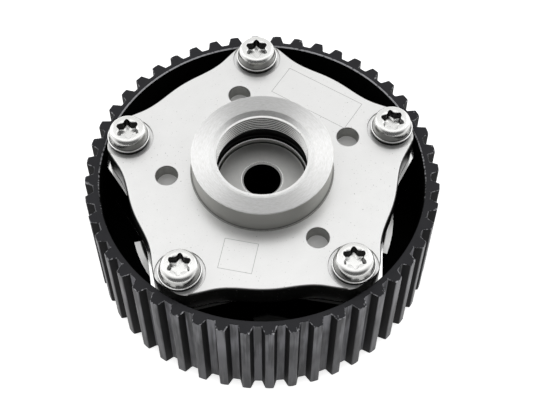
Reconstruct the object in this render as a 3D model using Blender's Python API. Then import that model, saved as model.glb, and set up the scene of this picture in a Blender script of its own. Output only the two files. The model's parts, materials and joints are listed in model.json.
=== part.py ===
"""Cam phaser for a toothed timing belt: a vane-type camshaft adjuster inside its belt pulley.

Metres, +Z up. The origin is the centre of the pulley's rear face, and +Z points to the front cover.
The stack from the rear: pulley web, rear cover, stator housing with the rotor in it, front cover.
"""

import math

import bmesh
import bpy
from mathutils import Vector

MM = 0.001

# Clearances
SEAT_GAP = 0.3 * MM
BORE_GAP = 0.3 * MM
PILOT_GAP = 0.4 * MM
COVER_RIM_GAP = 1.1 * MM
VANE_TIP_GAP = 0.5 * MM
SEAL_FACE_GAP = 0.25 * MM
SEAL_END_GAP = 0.2 * MM

# Belt pulley. The number of teeth follows from what has to fit inside the ring.
BELT_PITCH = 8.0 * MM
PITCH_LINE_OFFSET = 0.686 * MM
PULLEY_WIDTH = 43.4 * MM
TOOTH_DEPTH = 2.9 * MM
TOOTH_TIP_WIDTH = 2.8 * MM
TOOTH_BASE_WIDTH = 5.0 * MM
TOOTH_CORNER = 0.35 * MM
LEAST_RIM_WALL = 1.8 * MM
RIM_CHAMFER = 0.4 * MM
WEB_RECESS = 2.6 * MM
WEB_THICKNESS = 7.9 * MM
WEB_BOSS_WALL = 3.7 * MM
WEB_BOSS_HEIGHT = 1.4 * MM
WEB_HUB_WALL = 5.0 * MM
WEB_BORE_GAP = 3.5 * MM
RIM_REAR_LAND = 3.0 * MM

# Rotor
TURN_RANGE_DEG = 23.0
STOP_GAP_DEG = 0.6
PLAIN_VANE_DEG = 12.0
SOCKET_RADIUS = 12.5 * MM
SOCKET_DEPTH = 26.0 * MM
REAR_NOSE_WALL = 4.5 * MM
REAR_NOSE_END = 1.0 * MM
HUB_LAND = 4.2 * MM
FRONT_NOSE_HEIGHT = 2.9 * MM
BOLT_HOLE_RADIUS = 6.4 * MM
BOLT_CHAMFER = 0.6 * MM
NOSE_CHAMFER = 0.6 * MM
OIL_PORT_RADIUS = 1.2 * MM
OIL_PORT_SIDE_DEG = 4.2

# Lock pin
PIN_RADIUS = 3.2 * MM
PIN_LENGTH = 10.5 * MM
PIN_SLOT_WALL = 1.7 * MM
PIN_POCKET_WALL = 1.05 * MM
PIN_POCKET_DEPTH = 7.0 * MM
PIN_NOSE_TAPER = 0.35 * MM
SPRING_WIRE_RADIUS = 0.35 * MM
SPRING_TURNS = 5
SPRING_SEAT_LENGTH = 2.6 * MM
BUSH_WALL = 1.5 * MM
BUSH_LENGTH = 3.5 * MM

# Sliding seals, the same section in the vanes and in the shoes
SEAL_WIDTH = 2.4 * MM
SEAL_HEIGHT = 2.6 * MM
SEAL_SLOT_DEPTH = 4.2 * MM
LEAF_THICKNESS = 0.3 * MM
LEAF_WIDTH = 1.8 * MM
LEAF_END_INSET = 1.5 * MM

# Rear cover
REAR_COVER_THICKNESS = 6.6 * MM
EAR_STEP = 3.5 * MM
EAR_START_DEG = 30.6
EAR_END_DEG = 51.5
NOSE_SEAL_WIDTH = 4.2 * MM
NOSE_SEAL_LENGTH = 3.4 * MM
NOSE_SEAL_LIP = 2.1 * MM
BUSH_POCKET_WALL = 1.5 * MM

# Stator housing
STATOR_HEIGHT = 19.4 * MM
CHAMBER_WALL = 5.0 * MM
SCREW_INNER_WALL = 4.9 * MM
STATOR_LOBE_WALL = 9.9 * MM
STATOR_END_WALL = 7.43 * MM
STATOR_BLENDS = (0.9 * MM, 3.0 * MM)
SHOE_DEG = 26.0
HOUSING_SEAL_SECTION = 0.8 * MM

# Lobes and cover screws
LOBES = 5
FIRST_LOBE_DEG = 90.0
FLANK_NORMAL_DEG = 48.0
SCREW_RADIUS = 4.0 * MM
SCREW_TIP_CHAMFER = 0.6 * MM
SCREW_TIP_INSET = 1.2 * MM
HEAD_RADIUS = 6.7 * MM
HEAD_HEIGHT = 4.25 * MM
HEAD_SIDE_HEIGHT = 0.9 * MM
HEAD_FLAT_RADIUS = 4.3 * MM
RECESS_LOBES = 6
RECESS_POINT_RADIUS = 3.96 * MM
RECESS_VALLEY_RADIUS = 2.85 * MM
RECESS_DEPTH = 3.0 * MM
WASHER_RIM_WIDTH = 1.0 * MM
WASHER_FOOT_INSET = 1.3 * MM
WASHER_THICKNESS = 1.25 * MM
WASHER_RIM_HEIGHT = 0.9 * MM
SPOT_MARGIN = 0.6 * MM
SPOT_DEPTH = 0.45 * MM

# Front cover
COVER_THICKNESS = 8.7 * MM
COVER_OVERHANG = 2.6 * MM
COVER_LOBE_WALL = 8.8 * MM
COVER_BLENDS = (2.7 * MM, 3.2 * MM)
COVER_EDGE = 0.7 * MM
THREAD_RADIUS = 16.0 * MM
THREAD_LEAD = 1.6 * MM
THREAD_LEAD_DEPTH = 1.25 * MM
THREAD_DEPTH = 8.3 * MM
RELIEF_STEP = 0.9 * MM
RELIEF_DEPTH = 14.0 * MM
NOSE_STEP = 0.9 * MM
BORE_EDGE = 0.6 * MM
BOSS_HEIGHT = 9.8 * MM
BOSS_WALL = 7.8 * MM
BOSS_EDGE = 0.35 * MM
BOSS_FOOT_FILLET = 1.3 * MM
TOOL_HOLE_OFFSET = 8.6 * MM
TOOL_HOLE_RADIUS = 3.8 * MM
TOOL_HOLE_DEPTH = 5.0 * MM
TOOL_HOLE_FIRST_DEG = 22.0
TOOL_HOLE_STEP_DEG = 80.0
TOOL_HOLES = 4

# Locating dowel
DOWEL_RADIUS = 1.5 * MM
DOWEL_SIDE_DEG = 9.5
DOWEL_ENGAGEMENT = 4.5 * MM

# Radii, worked out from the camshaft socket outwards
REAR_NOSE_RADIUS = SOCKET_RADIUS + REAR_NOSE_WALL
HUB_RADIUS = REAR_NOSE_RADIUS + HUB_LAND
NOSE_SEAL_RADIUS = REAR_NOSE_RADIUS + BORE_GAP + NOSE_SEAL_WIDTH
WEB_BORE_RADIUS = REAR_NOSE_RADIUS + WEB_BORE_GAP
PIN_POCKET_RADIUS = PIN_RADIUS - PIN_POCKET_WALL
PIN_BORE_RADIUS = PIN_RADIUS + BORE_GAP
BUSH_RADIUS = PIN_BORE_RADIUS + BUSH_WALL
BUSH_POCKET_RADIUS = BUSH_RADIUS + BORE_GAP
PIN_CIRCLE_RADIUS = NOSE_SEAL_RADIUS + BORE_GAP + BUSH_POCKET_WALL + BUSH_POCKET_RADIUS
VANE_RADIUS = PIN_CIRCLE_RADIUS + PIN_BORE_RADIUS + PIN_SLOT_WALL + SEAL_SLOT_DEPTH
CHAMBER_RADIUS = VANE_RADIUS + VANE_TIP_GAP
SHOE_TIP_RADIUS = HUB_RADIUS + VANE_TIP_GAP
SEAL_SLOT_HALF = SEAL_WIDTH / 2 + BORE_GAP
LEAF_ROOM = SEAL_SLOT_DEPTH + VANE_TIP_GAP - SEAL_HEIGHT - SEAL_FACE_GAP
SEAL_RING_GROOVE = HOUSING_SEAL_SECTION + BORE_GAP
SEAL_RING_RADIUS = CHAMBER_RADIUS + SCREW_INNER_WALL / 2
SCREW_HOLE_RADIUS = SCREW_RADIUS + BORE_GAP
SCREW_CIRCLE_RADIUS = CHAMBER_RADIUS + SCREW_INNER_WALL + SCREW_HOLE_RADIUS
STATOR_WAIST_RADIUS = CHAMBER_RADIUS + CHAMBER_WALL
STATOR_END_RADIUS = SCREW_CIRCLE_RADIUS + STATOR_END_WALL
EAR_RADIUS = STATOR_WAIST_RADIUS + EAR_STEP
COVER_WAIST_RADIUS = STATOR_WAIST_RADIUS + COVER_OVERHANG
CUP_RADIUS = STATOR_END_RADIUS + PILOT_GAP
COVER_END_RADIUS = CUP_RADIUS - COVER_RIM_GAP
LEAST_PITCH_RADIUS = CUP_RADIUS + LEAST_RIM_WALL + TOOTH_DEPTH + PITCH_LINE_OFFSET
TOOTH_COUNT = math.ceil(2 * math.pi * LEAST_PITCH_RADIUS / BELT_PITCH)
TIP_RADIUS = TOOTH_COUNT * BELT_PITCH / (2 * math.pi) - PITCH_LINE_OFFSET
ROOT_RADIUS = TIP_RADIUS - TOOTH_DEPTH
WASHER_RADIUS = HEAD_RADIUS + WASHER_RIM_WIDTH
SPOT_RADIUS = WASHER_RADIUS + SPOT_MARGIN
FRONT_NOSE_RADIUS = THREAD_RADIUS - NOSE_STEP
BOSS_RADIUS = THREAD_RADIUS + BOSS_WALL
TOOL_HOLE_CIRCLE_RADIUS = BOSS_RADIUS + TOOL_HOLE_OFFSET

# Heights, worked out from the pulley's rear face to the front
WEB_TOP = WEB_RECESS + WEB_THICKNESS
REAR_COVER_BOTTOM = WEB_TOP + SEAT_GAP
REAR_COVER_TOP = REAR_COVER_BOTTOM + REAR_COVER_THICKNESS
STATOR_BOTTOM = REAR_COVER_TOP + SEAT_GAP
STATOR_TOP = STATOR_BOTTOM + STATOR_HEIGHT
COVER_BOTTOM = STATOR_TOP + SEAT_GAP
COVER_TOP = COVER_BOTTOM + COVER_THICKNESS
BOSS_TOP = COVER_TOP + BOSS_HEIGHT
SPOT_FLOOR = COVER_TOP - SPOT_DEPTH
SOCKET_FLOOR = REAR_NOSE_END + SOCKET_DEPTH
BOLT_SEAT = STATOR_TOP + FRONT_NOSE_HEIGHT

# Angles
LOBE_PITCH_DEG = 360.0 / LOBES
LOCK_VANE_DEG = LOBE_PITCH_DEG - SHOE_DEG - TURN_RANGE_DEG - 2 * STOP_GAP_DEG
FIRST_VANE_DEG = FIRST_LOBE_DEG + LOBE_PITCH_DEG / 2 + TURN_RANGE_DEG / 2

# Facets
ROUND_SEGMENTS = 45
RING_SEGMENTS = 30
SMALL_SEGMENTS = 16
DOWEL_SEGMENTS = 10
DOME_SEGMENTS = 3
HALF_LOBE_SEGMENTS = 9
LOBE_CROWDING = 1.3

# How far a cutter reaches past the face that it opens
BOOLEAN_REACH = 1.0 * MM


def lobe_angles():
    """The angle of each lobe, in degrees."""
    return [FIRST_LOBE_DEG + LOBE_PITCH_DEG * k for k in range(LOBES)]


def vane_angles():
    """The angle of each vane with the rotor at rest. The first is the wide lock vane."""
    return [FIRST_VANE_DEG + LOBE_PITCH_DEG * k for k in range(LOBES)]


def polar(radius, degrees, z=0.0):
    """A point at a radius and an angle about the Z axis."""
    angle = math.radians(degrees)
    return Vector((radius * math.cos(angle), radius * math.sin(angle), z))


def metal(name, colour, roughness, metallic=1.0):
    """A Principled material of one colour."""
    material = bpy.data.materials.new(name)
    material.use_nodes = True
    shader = material.node_tree.nodes["Principled BSDF"]
    shader.inputs["Base Color"].default_value = (*colour, 1.0)
    shader.inputs["Roughness"].default_value = roughness
    shader.inputs["Metallic"].default_value = metallic
    return material


def make_object(name, bm, material, parent=None):
    """Turns a bmesh into a named object with smooth faces and sharp edges."""
    bmesh.ops.recalc_face_normals(bm, faces=bm.faces[:])
    mesh = bpy.data.meshes.new(name)
    bm.to_mesh(mesh)
    bm.free()
    mesh.materials.append(material)
    mesh.shade_smooth()
    mesh.set_sharp_from_angle(angle=math.radians(32))
    return place_object(name, mesh, parent)


def place_object(name, mesh, parent=None, location=(0.0, 0.0, 0.0), turn_deg=0.0):
    """Puts a mesh into the scene as its own object."""
    obj = bpy.data.objects.new(name, mesh)
    bpy.context.scene.collection.objects.link(obj)
    obj.location = location
    obj.rotation_euler.z = math.radians(turn_deg)
    obj.parent = parent
    return obj


def turned(profile, segments, bm=None, centre=(0.0, 0.0, 0.0)):
    """A body turned about Z from a closed (radius, z) profile. Points at radius 0 close on the axis."""
    part = bmesh.new()
    points = [part.verts.new((radius, 0.0, z)) for radius, z in profile]
    edges = []
    for i, first in enumerate(points):
        second = points[(i + 1) % len(points)]
        on_axis = profile[i][0] == 0.0 and profile[(i + 1) % len(points)][0] == 0.0
        if not on_axis:
            edges.append(part.edges.new((first, second)))
    bmesh.ops.spin(
        part,
        geom=points + edges,
        cent=(0.0, 0.0, 0.0),
        axis=(0.0, 0.0, 1.0),
        angle=2 * math.pi,
        steps=segments,
        use_merge=True,
    )
    bmesh.ops.remove_doubles(part, verts=part.verts[:], dist=1e-7)
    bmesh.ops.recalc_face_normals(part, faces=part.faces[:])
    bmesh.ops.translate(part, verts=part.verts[:], vec=centre)
    return merged(bm, part)


def stacked(levels, bm=None):
    """A closed body through outlines of equal length, each at its own height."""
    part = bmesh.new()
    rings = []
    for outline, z in levels:
        rings.append([part.verts.new((p.x, p.y, z)) for p in outline])
    for low, high in zip(rings, rings[1:]):
        for i in range(len(low)):
            j = (i + 1) % len(low)
            part.faces.new((low[i], low[j], high[j], high[i]))
    part.faces.new(rings[0][::-1])
    part.faces.new(rings[-1])
    bmesh.ops.recalc_face_normals(part, faces=part.faces[:])
    return merged(bm, part)


def merged(bm, part):
    """Adds one bmesh to another as a separate body."""
    if bm is None:
        return part
    mesh = bpy.data.meshes.new("piece")
    part.to_mesh(mesh)
    part.free()
    bm.from_mesh(mesh)
    bpy.data.meshes.remove(mesh)
    return bm


def boolean(target, bm, operation):
    """Cuts a bmesh out of an object, or joins it on, with a live Boolean."""
    mesh = bpy.data.meshes.new(f"{target.name}_{operation.lower()}")
    bm.to_mesh(mesh)
    bm.free()
    tool = place_object(mesh.name, mesh, target.parent)
    tool.hide_render = True
    tool.display_type = "WIRE"
    modifier = target.modifiers.new(operation.title(), "BOOLEAN")
    modifier.operation = operation
    modifier.solver = "EXACT"
    modifier.object = tool


def drilled(radius, bottom, top, centre, bm=None, segments=SMALL_SEGMENTS):
    """A round cutter along Z between two heights."""
    profile = [(0.0, bottom), (radius, bottom), (radius, top), (0.0, top)]
    return turned(profile, segments, bm, centre)


def blend_up(a, b, width):
    """The larger of two lengths, rounded where they are nearly equal."""
    near = max(width - abs(a - b), 0.0) / width
    return max(a, b) + near * near * width / 4


def star_radius(offset_deg, end_radius, waist_radius, flank, corner, hollow):
    """Radius of a lobed outline at an angle from its lobe: lobe end, straight flank and waist."""
    lean = math.radians(offset_deg - FLANK_NORMAL_DEG)
    side = flank / math.cos(lean)
    outer = -blend_up(-end_radius, -side, corner)
    return blend_up(outer, waist_radius, hollow)


def lobe_offsets():
    """Angles from one lobe to the next, in degrees, closer together near the lobes."""
    half = LOBE_PITCH_DEG / 2
    rising = [half * (i / HALF_LOBE_SEGMENTS) ** LOBE_CROWDING for i in range(HALF_LOBE_SEGMENTS + 1)]
    return rising + [LOBE_PITCH_DEG - offset for offset in reversed(rising[1:-1])]


def star_outline(end_radius, waist_radius, lobe_wall, corner, hollow, inset=0.0):
    """The whole lobed outline, moved inward by inset."""
    flank = SCREW_CIRCLE_RADIUS * math.cos(math.radians(FLANK_NORMAL_DEG)) + lobe_wall
    points = []
    for lobe in lobe_angles():
        for offset in lobe_offsets():
            nearest = min(offset, LOBE_PITCH_DEG - offset)
            radius = star_radius(
                nearest, end_radius - inset, waist_radius - inset, flank - inset, corner, hollow
            )
            points.append(polar(radius, lobe + offset))
    return points


def tooth_outline():
    """The pulley's outline: flat-topped teeth with clipped corners and flat roots."""
    root = math.degrees(TOOTH_BASE_WIDTH / 2 / ROOT_RADIUS)
    tip = math.degrees(TOOTH_TIP_WIDTH / 2 / TIP_RADIUS)
    corner = math.degrees(TOOTH_CORNER / TIP_RADIUS)
    half = [
        (root, ROOT_RADIUS),
        (tip + corner / 3, TIP_RADIUS - TOOTH_CORNER),
        (tip - corner, TIP_RADIUS),
    ]
    points = []
    for i in range(TOOTH_COUNT):
        centre = FIRST_LOBE_DEG + 360.0 * i / TOOTH_COUNT
        points += [polar(radius, centre - angle) for angle, radius in half]
        points += [polar(radius, centre + angle) for angle, radius in reversed(half)]
    return points


def screw_hole_cutters(radius, bottom, top):
    """Five straight holes on the screw circle."""
    bm = None
    for angle in lobe_angles():
        bm = drilled(radius, bottom, top, polar(SCREW_CIRCLE_RADIUS, angle), bm)
    return bm


def make_pulley():
    """The toothed ring and its web, one sintered piece: a deep cup in front, a shallow recess behind."""
    black = metal("black_oxide_steel", (0.045, 0.045, 0.048), 0.45)
    outline = tooth_outline()
    pulley = make_object("pulley", stacked([(outline, 0.0), (outline, PULLEY_WIDTH)]), black)
    above = PULLEY_WIDTH + BOOLEAN_REACH
    cup = [
        (0.0, WEB_TOP),
        (CUP_RADIUS, WEB_TOP),
        (CUP_RADIUS, PULLEY_WIDTH - RIM_CHAMFER),
        (CUP_RADIUS + RIM_CHAMFER, PULLEY_WIDTH),
        (CUP_RADIUS + RIM_CHAMFER, above),
        (0.0, above),
    ]
    boolean(pulley, turned(cup, ROUND_SEGMENTS), "DIFFERENCE")
    hub_radius = WEB_BORE_RADIUS + WEB_HUB_WALL
    land_radius = CUP_RADIUS - RIM_REAR_LAND
    ring = [
        (hub_radius, -BOOLEAN_REACH),
        (land_radius, -BOOLEAN_REACH),
        (land_radius, WEB_RECESS),
        (hub_radius, WEB_RECESS),
    ]
    boolean(pulley, turned(ring, ROUND_SEGMENTS), "DIFFERENCE")
    bosses = None
    for angle in lobe_angles():
        centre = polar(SCREW_CIRCLE_RADIUS, angle)
        low = WEB_RECESS - WEB_BOSS_HEIGHT
        radius = SCREW_HOLE_RADIUS + WEB_BOSS_WALL
        bosses = drilled(radius, low, WEB_RECESS + BOOLEAN_REACH, centre, bosses)
    boolean(pulley, bosses, "UNION")
    bores = screw_hole_cutters(SCREW_HOLE_RADIUS, -BOOLEAN_REACH, WEB_TOP + BOOLEAN_REACH)
    bores = drilled(WEB_BORE_RADIUS, -BOOLEAN_REACH, WEB_TOP + BOOLEAN_REACH, (0, 0, 0), bores, ROUND_SEGMENTS)
    boolean(pulley, bores, "DIFFERENCE")


def boss_profile():
    """The cover's boss: foot fillet, straight wall and a small top edge."""
    points = [(0.0, COVER_TOP - BOOLEAN_REACH)]
    reach = BOSS_RADIUS + BOSS_FOOT_FILLET
    points.append((reach, COVER_TOP - BOOLEAN_REACH))
    steps = 2
    for i in range(steps + 1):
        angle = math.pi / 2 * i / steps
        radius = reach - BOSS_FOOT_FILLET * math.sin(angle)
        points.append((radius, COVER_TOP + BOSS_FOOT_FILLET * (1 - math.cos(angle))))
    points.append((BOSS_RADIUS, BOSS_TOP - BOSS_EDGE))
    points.append((BOSS_RADIUS - BOSS_EDGE, BOSS_TOP))
    points.append((0.0, BOSS_TOP))
    return points


def cover_bore_profile():
    """The cover's bore from the bottom: rotor nose bore, relief, thread and lead-in."""
    nose_bore = FRONT_NOSE_RADIUS + BORE_GAP
    relief_floor = BOSS_TOP - RELIEF_DEPTH
    relief_radius = THREAD_RADIUS + RELIEF_STEP
    lead_radius = THREAD_RADIUS + THREAD_LEAD
    return [
        (0.0, COVER_BOTTOM - BOOLEAN_REACH),
        (nose_bore, COVER_BOTTOM - BOOLEAN_REACH),
        (nose_bore, relief_floor - BORE_EDGE),
        (nose_bore + BORE_EDGE, relief_floor),
        (relief_radius, relief_floor),
        (relief_radius, BOSS_TOP - THREAD_DEPTH),
        (THREAD_RADIUS, BOSS_TOP - THREAD_DEPTH),
        (THREAD_RADIUS, BOSS_TOP - THREAD_LEAD_DEPTH),
        (lead_radius, BOSS_TOP),
        (lead_radius, BOSS_TOP + BOOLEAN_REACH),
        (0.0, BOSS_TOP + BOOLEAN_REACH),
    ]


def make_front_cover():
    """The lobed front cover with its threaded boss, spot faces and blind tool holes."""
    alloy = metal("satin_alloy", (0.78, 0.78, 0.77), 0.42)
    shape = (COVER_END_RADIUS, COVER_WAIST_RADIUS, COVER_LOBE_WALL, *COVER_BLENDS)
    full = star_outline(*shape)
    levels = [
        (full, COVER_BOTTOM),
        (full, COVER_TOP - COVER_EDGE),
        (star_outline(*shape, inset=COVER_EDGE / 3), COVER_TOP - COVER_EDGE / 3),
        (star_outline(*shape, inset=COVER_EDGE), COVER_TOP),
    ]
    cover = make_object("front_cover", stacked(levels), alloy)
    boolean(cover, turned(boss_profile(), ROUND_SEGMENTS), "UNION")
    cuts = turned(cover_bore_profile(), ROUND_SEGMENTS)
    for angle in lobe_angles():
        stepped = [
            (0.0, COVER_BOTTOM - BOOLEAN_REACH),
            (SCREW_HOLE_RADIUS, COVER_BOTTOM - BOOLEAN_REACH),
            (SCREW_HOLE_RADIUS, SPOT_FLOOR),
            (SPOT_RADIUS, SPOT_FLOOR),
            (SPOT_RADIUS, COVER_TOP + BOOLEAN_REACH),
            (0.0, COVER_TOP + BOOLEAN_REACH),
        ]
        cuts = turned(stepped, SMALL_SEGMENTS, cuts, polar(SCREW_CIRCLE_RADIUS, angle))
    for k in range(TOOL_HOLES):
        angle = TOOL_HOLE_FIRST_DEG + TOOL_HOLE_STEP_DEG * (k if k < TOOL_HOLES - 1 else -1)
        centre = polar(TOOL_HOLE_CIRCLE_RADIUS, angle)
        floor = COVER_TOP - TOOL_HOLE_DEPTH
        cuts = drilled(TOOL_HOLE_RADIUS, floor, COVER_TOP + BOOLEAN_REACH, centre, cuts)
    cuts = drilled_dowel_hole(COVER_BOTTOM - BOOLEAN_REACH, COVER_BOTTOM + DOWEL_ENGAGEMENT + SEAT_GAP, cuts)
    boolean(cover, cuts, "DIFFERENCE")


def dowel_centre():
    """Where the locating dowel stands, beside the first screw."""
    return polar(SCREW_CIRCLE_RADIUS, FIRST_LOBE_DEG + DOWEL_SIDE_DEG)


def drilled_dowel_hole(bottom, top, bm):
    """The dowel's hole between two heights."""
    return drilled(DOWEL_RADIUS + BORE_GAP, bottom, top, dowel_centre(), bm, DOWEL_SEGMENTS)


def slot_points(mouth_radius, floor_radius, angle):
    """A straight seal slot as four points, from one mouth edge round its floor to the other."""
    turn = math.radians(angle)
    out = Vector((math.cos(turn), math.sin(turn), 0.0))
    side = Vector((-math.sin(turn), math.cos(turn), 0.0))
    mouth = math.sqrt(mouth_radius**2 - SEAL_SLOT_HALF**2)
    return [
        out * mouth - side * SEAL_SLOT_HALF,
        out * floor_radius - side * SEAL_SLOT_HALF,
        out * floor_radius + side * SEAL_SLOT_HALF,
        out * mouth + side * SEAL_SLOT_HALF,
    ]


def arc(radius, start_deg, end_deg, steps):
    """Points along an arc, both ends included."""
    return [polar(radius, start_deg + (end_deg - start_deg) * i / steps) for i in range(steps + 1)]


def chamber_outline():
    """The stator's inside: five shoes with seal slots, and the chambers between them."""
    points = []
    half = SHOE_DEG / 2
    slot_half = math.degrees(math.asin(SEAL_SLOT_HALF / SHOE_TIP_RADIUS))
    for lobe in lobe_angles():
        points += arc(SHOE_TIP_RADIUS, lobe - half, lobe - slot_half, 2)[:-1]
        points += slot_points(SHOE_TIP_RADIUS, SHOE_TIP_RADIUS + SEAL_SLOT_DEPTH, lobe)
        points += arc(SHOE_TIP_RADIUS, lobe + slot_half, lobe + half, 2)[1:]
        points += arc(CHAMBER_RADIUS, lobe + half, lobe + LOBE_PITCH_DEG - half, 6)
    return points


def rotor_outline():
    """The rotor from the front: hub arcs and five vanes with seal slots, the first vane wide."""
    points = []
    slot_half = math.degrees(math.asin(SEAL_SLOT_HALF / VANE_RADIUS))
    widths = [LOCK_VANE_DEG] + [PLAIN_VANE_DEG] * (LOBES - 1)
    for vane, width, following in zip(vane_angles(), widths, widths[1:] + widths[:1]):
        half = width / 2
        points += arc(VANE_RADIUS, vane - half, vane - slot_half, 2)[:-1]
        points += slot_points(VANE_RADIUS, VANE_RADIUS - SEAL_SLOT_DEPTH, vane)
        points += arc(VANE_RADIUS, vane + slot_half, vane + half, 2)[1:]
        points += arc(HUB_RADIUS, vane + half, vane + LOBE_PITCH_DEG - following / 2, 6)
    return points


def ring_groove(z_open, z_floor):
    """A square groove for a housing seal ring."""
    inner = SEAL_RING_RADIUS - SEAL_RING_GROOVE
    outer = SEAL_RING_RADIUS + SEAL_RING_GROOVE
    return [(inner, z_floor), (outer, z_floor), (outer, z_open), (inner, z_open)]


def make_stator():
    """The lobed housing with five inward shoes, and a seal ring groove in each end face."""
    alloy = metal("bright_cast_alloy", (0.83, 0.83, 0.82), 0.32)
    outline = star_outline(STATOR_END_RADIUS, STATOR_WAIST_RADIUS, STATOR_LOBE_WALL, *STATOR_BLENDS)
    stator = make_object("stator_housing", stacked([(outline, STATOR_BOTTOM), (outline, STATOR_TOP)]), alloy)
    below = STATOR_BOTTOM - BOOLEAN_REACH
    above = STATOR_TOP + BOOLEAN_REACH
    inside = chamber_outline()
    boolean(stator, stacked([(inside, below), (inside, above)]), "DIFFERENCE")
    depth = 2 * HOUSING_SEAL_SECTION + BORE_GAP
    cuts = turned(ring_groove(above, STATOR_TOP - depth), RING_SEGMENTS)
    cuts = turned(ring_groove(below, STATOR_BOTTOM + depth), RING_SEGMENTS, cuts)
    for angle in lobe_angles():
        cuts = drilled(SCREW_HOLE_RADIUS, below, above, polar(SCREW_CIRCLE_RADIUS, angle), cuts)
    cuts = drilled_dowel_hole(below, above, cuts)
    boolean(stator, cuts, "DIFFERENCE")


def rear_cover_outline():
    """The rear cover: the stator's outline with a stepped ear after each lobe."""
    flank = SCREW_CIRCLE_RADIUS * math.cos(math.radians(FLANK_NORMAL_DEG)) + STATOR_LOBE_WALL

    def side(offset):
        nearest = min(offset, LOBE_PITCH_DEG - offset)
        return star_radius(nearest, STATOR_END_RADIUS, STATOR_WAIST_RADIUS, flank, *STATOR_BLENDS)

    points = []
    for lobe in lobe_angles():
        before = [offset for offset in lobe_offsets() if offset < EAR_START_DEG]
        after = [offset for offset in lobe_offsets() if offset > EAR_END_DEG]
        points += [polar(side(offset), lobe + offset) for offset in before + [EAR_START_DEG]]
        points += arc(EAR_RADIUS, lobe + EAR_START_DEG, lobe + EAR_END_DEG, 4)
        points += [polar(side(offset), lobe + offset) for offset in [EAR_END_DEG] + after]
    return points


def make_rear_cover():
    """The rear cover with the rotor nose bore, the nose seal's seat and the lock bush's pocket."""
    alloy = metal("bright_plate_alloy", (0.8, 0.8, 0.79), 0.36)
    outline = rear_cover_outline()
    cover = make_object(
        "rear_cover", stacked([(outline, REAR_COVER_BOTTOM), (outline, REAR_COVER_TOP)]), alloy
    )
    below = REAR_COVER_BOTTOM - BOOLEAN_REACH
    above = REAR_COVER_TOP + BOOLEAN_REACH
    seat = REAR_COVER_BOTTOM + NOSE_SEAL_LENGTH + 2 * SEAT_GAP
    bore = [
        (0.0, below),
        (NOSE_SEAL_RADIUS + BORE_GAP, below),
        (NOSE_SEAL_RADIUS + BORE_GAP, seat),
        (REAR_NOSE_RADIUS + BORE_GAP, seat),
        (REAR_NOSE_RADIUS + BORE_GAP, above),
        (0.0, above),
    ]
    cuts = turned(bore, ROUND_SEGMENTS)
    for angle in lobe_angles():
        cuts = drilled(SCREW_HOLE_RADIUS, below, above, polar(SCREW_CIRCLE_RADIUS, angle), cuts)
    pocket_floor = REAR_COVER_TOP - BUSH_LENGTH - 2 * SEAT_GAP
    cuts = drilled(BUSH_POCKET_RADIUS, pocket_floor, above, pin_centre(), cuts)
    cuts = drilled_dowel_hole(REAR_COVER_TOP - DOWEL_ENGAGEMENT - SEAT_GAP, above, cuts)
    boolean(cover, cuts, "DIFFERENCE")


def pin_centre(z=0.0):
    """The lock pin's axis at rest, in the wide vane."""
    return polar(PIN_CIRCLE_RADIUS, FIRST_VANE_DEG, z)


def oil_ports():
    """Radial oil ways through the hub, one on each side of every vane, at two heights."""
    bm = None
    widths = [LOCK_VANE_DEG] + [PLAIN_VANE_DEG] * (LOBES - 1)
    low = (STATOR_BOTTOM + SOCKET_FLOOR) / 2
    high = (SOCKET_FLOOR + STATOR_TOP) / 2
    for vane, width in zip(vane_angles(), widths):
        for side, z, start in ((1, low, SOCKET_RADIUS), (-1, high, BOLT_HOLE_RADIUS)):
            angle = vane + side * (width / 2 + OIL_PORT_SIDE_DEG)
            port = drilled(OIL_PORT_RADIUS, start - BOOLEAN_REACH, HUB_RADIUS + BOOLEAN_REACH, (0, 0, 0), None, 8)
            turn = Vector((0, 0, 1)).rotation_difference(polar(1.0, angle)).to_matrix()
            bmesh.ops.rotate(port, verts=port.verts[:], cent=(0, 0, 0), matrix=turn)
            bmesh.ops.translate(port, verts=port.verts[:], vec=(0, 0, z))
            bm = merged(bm, port) if bm else port
    return bm


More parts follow.
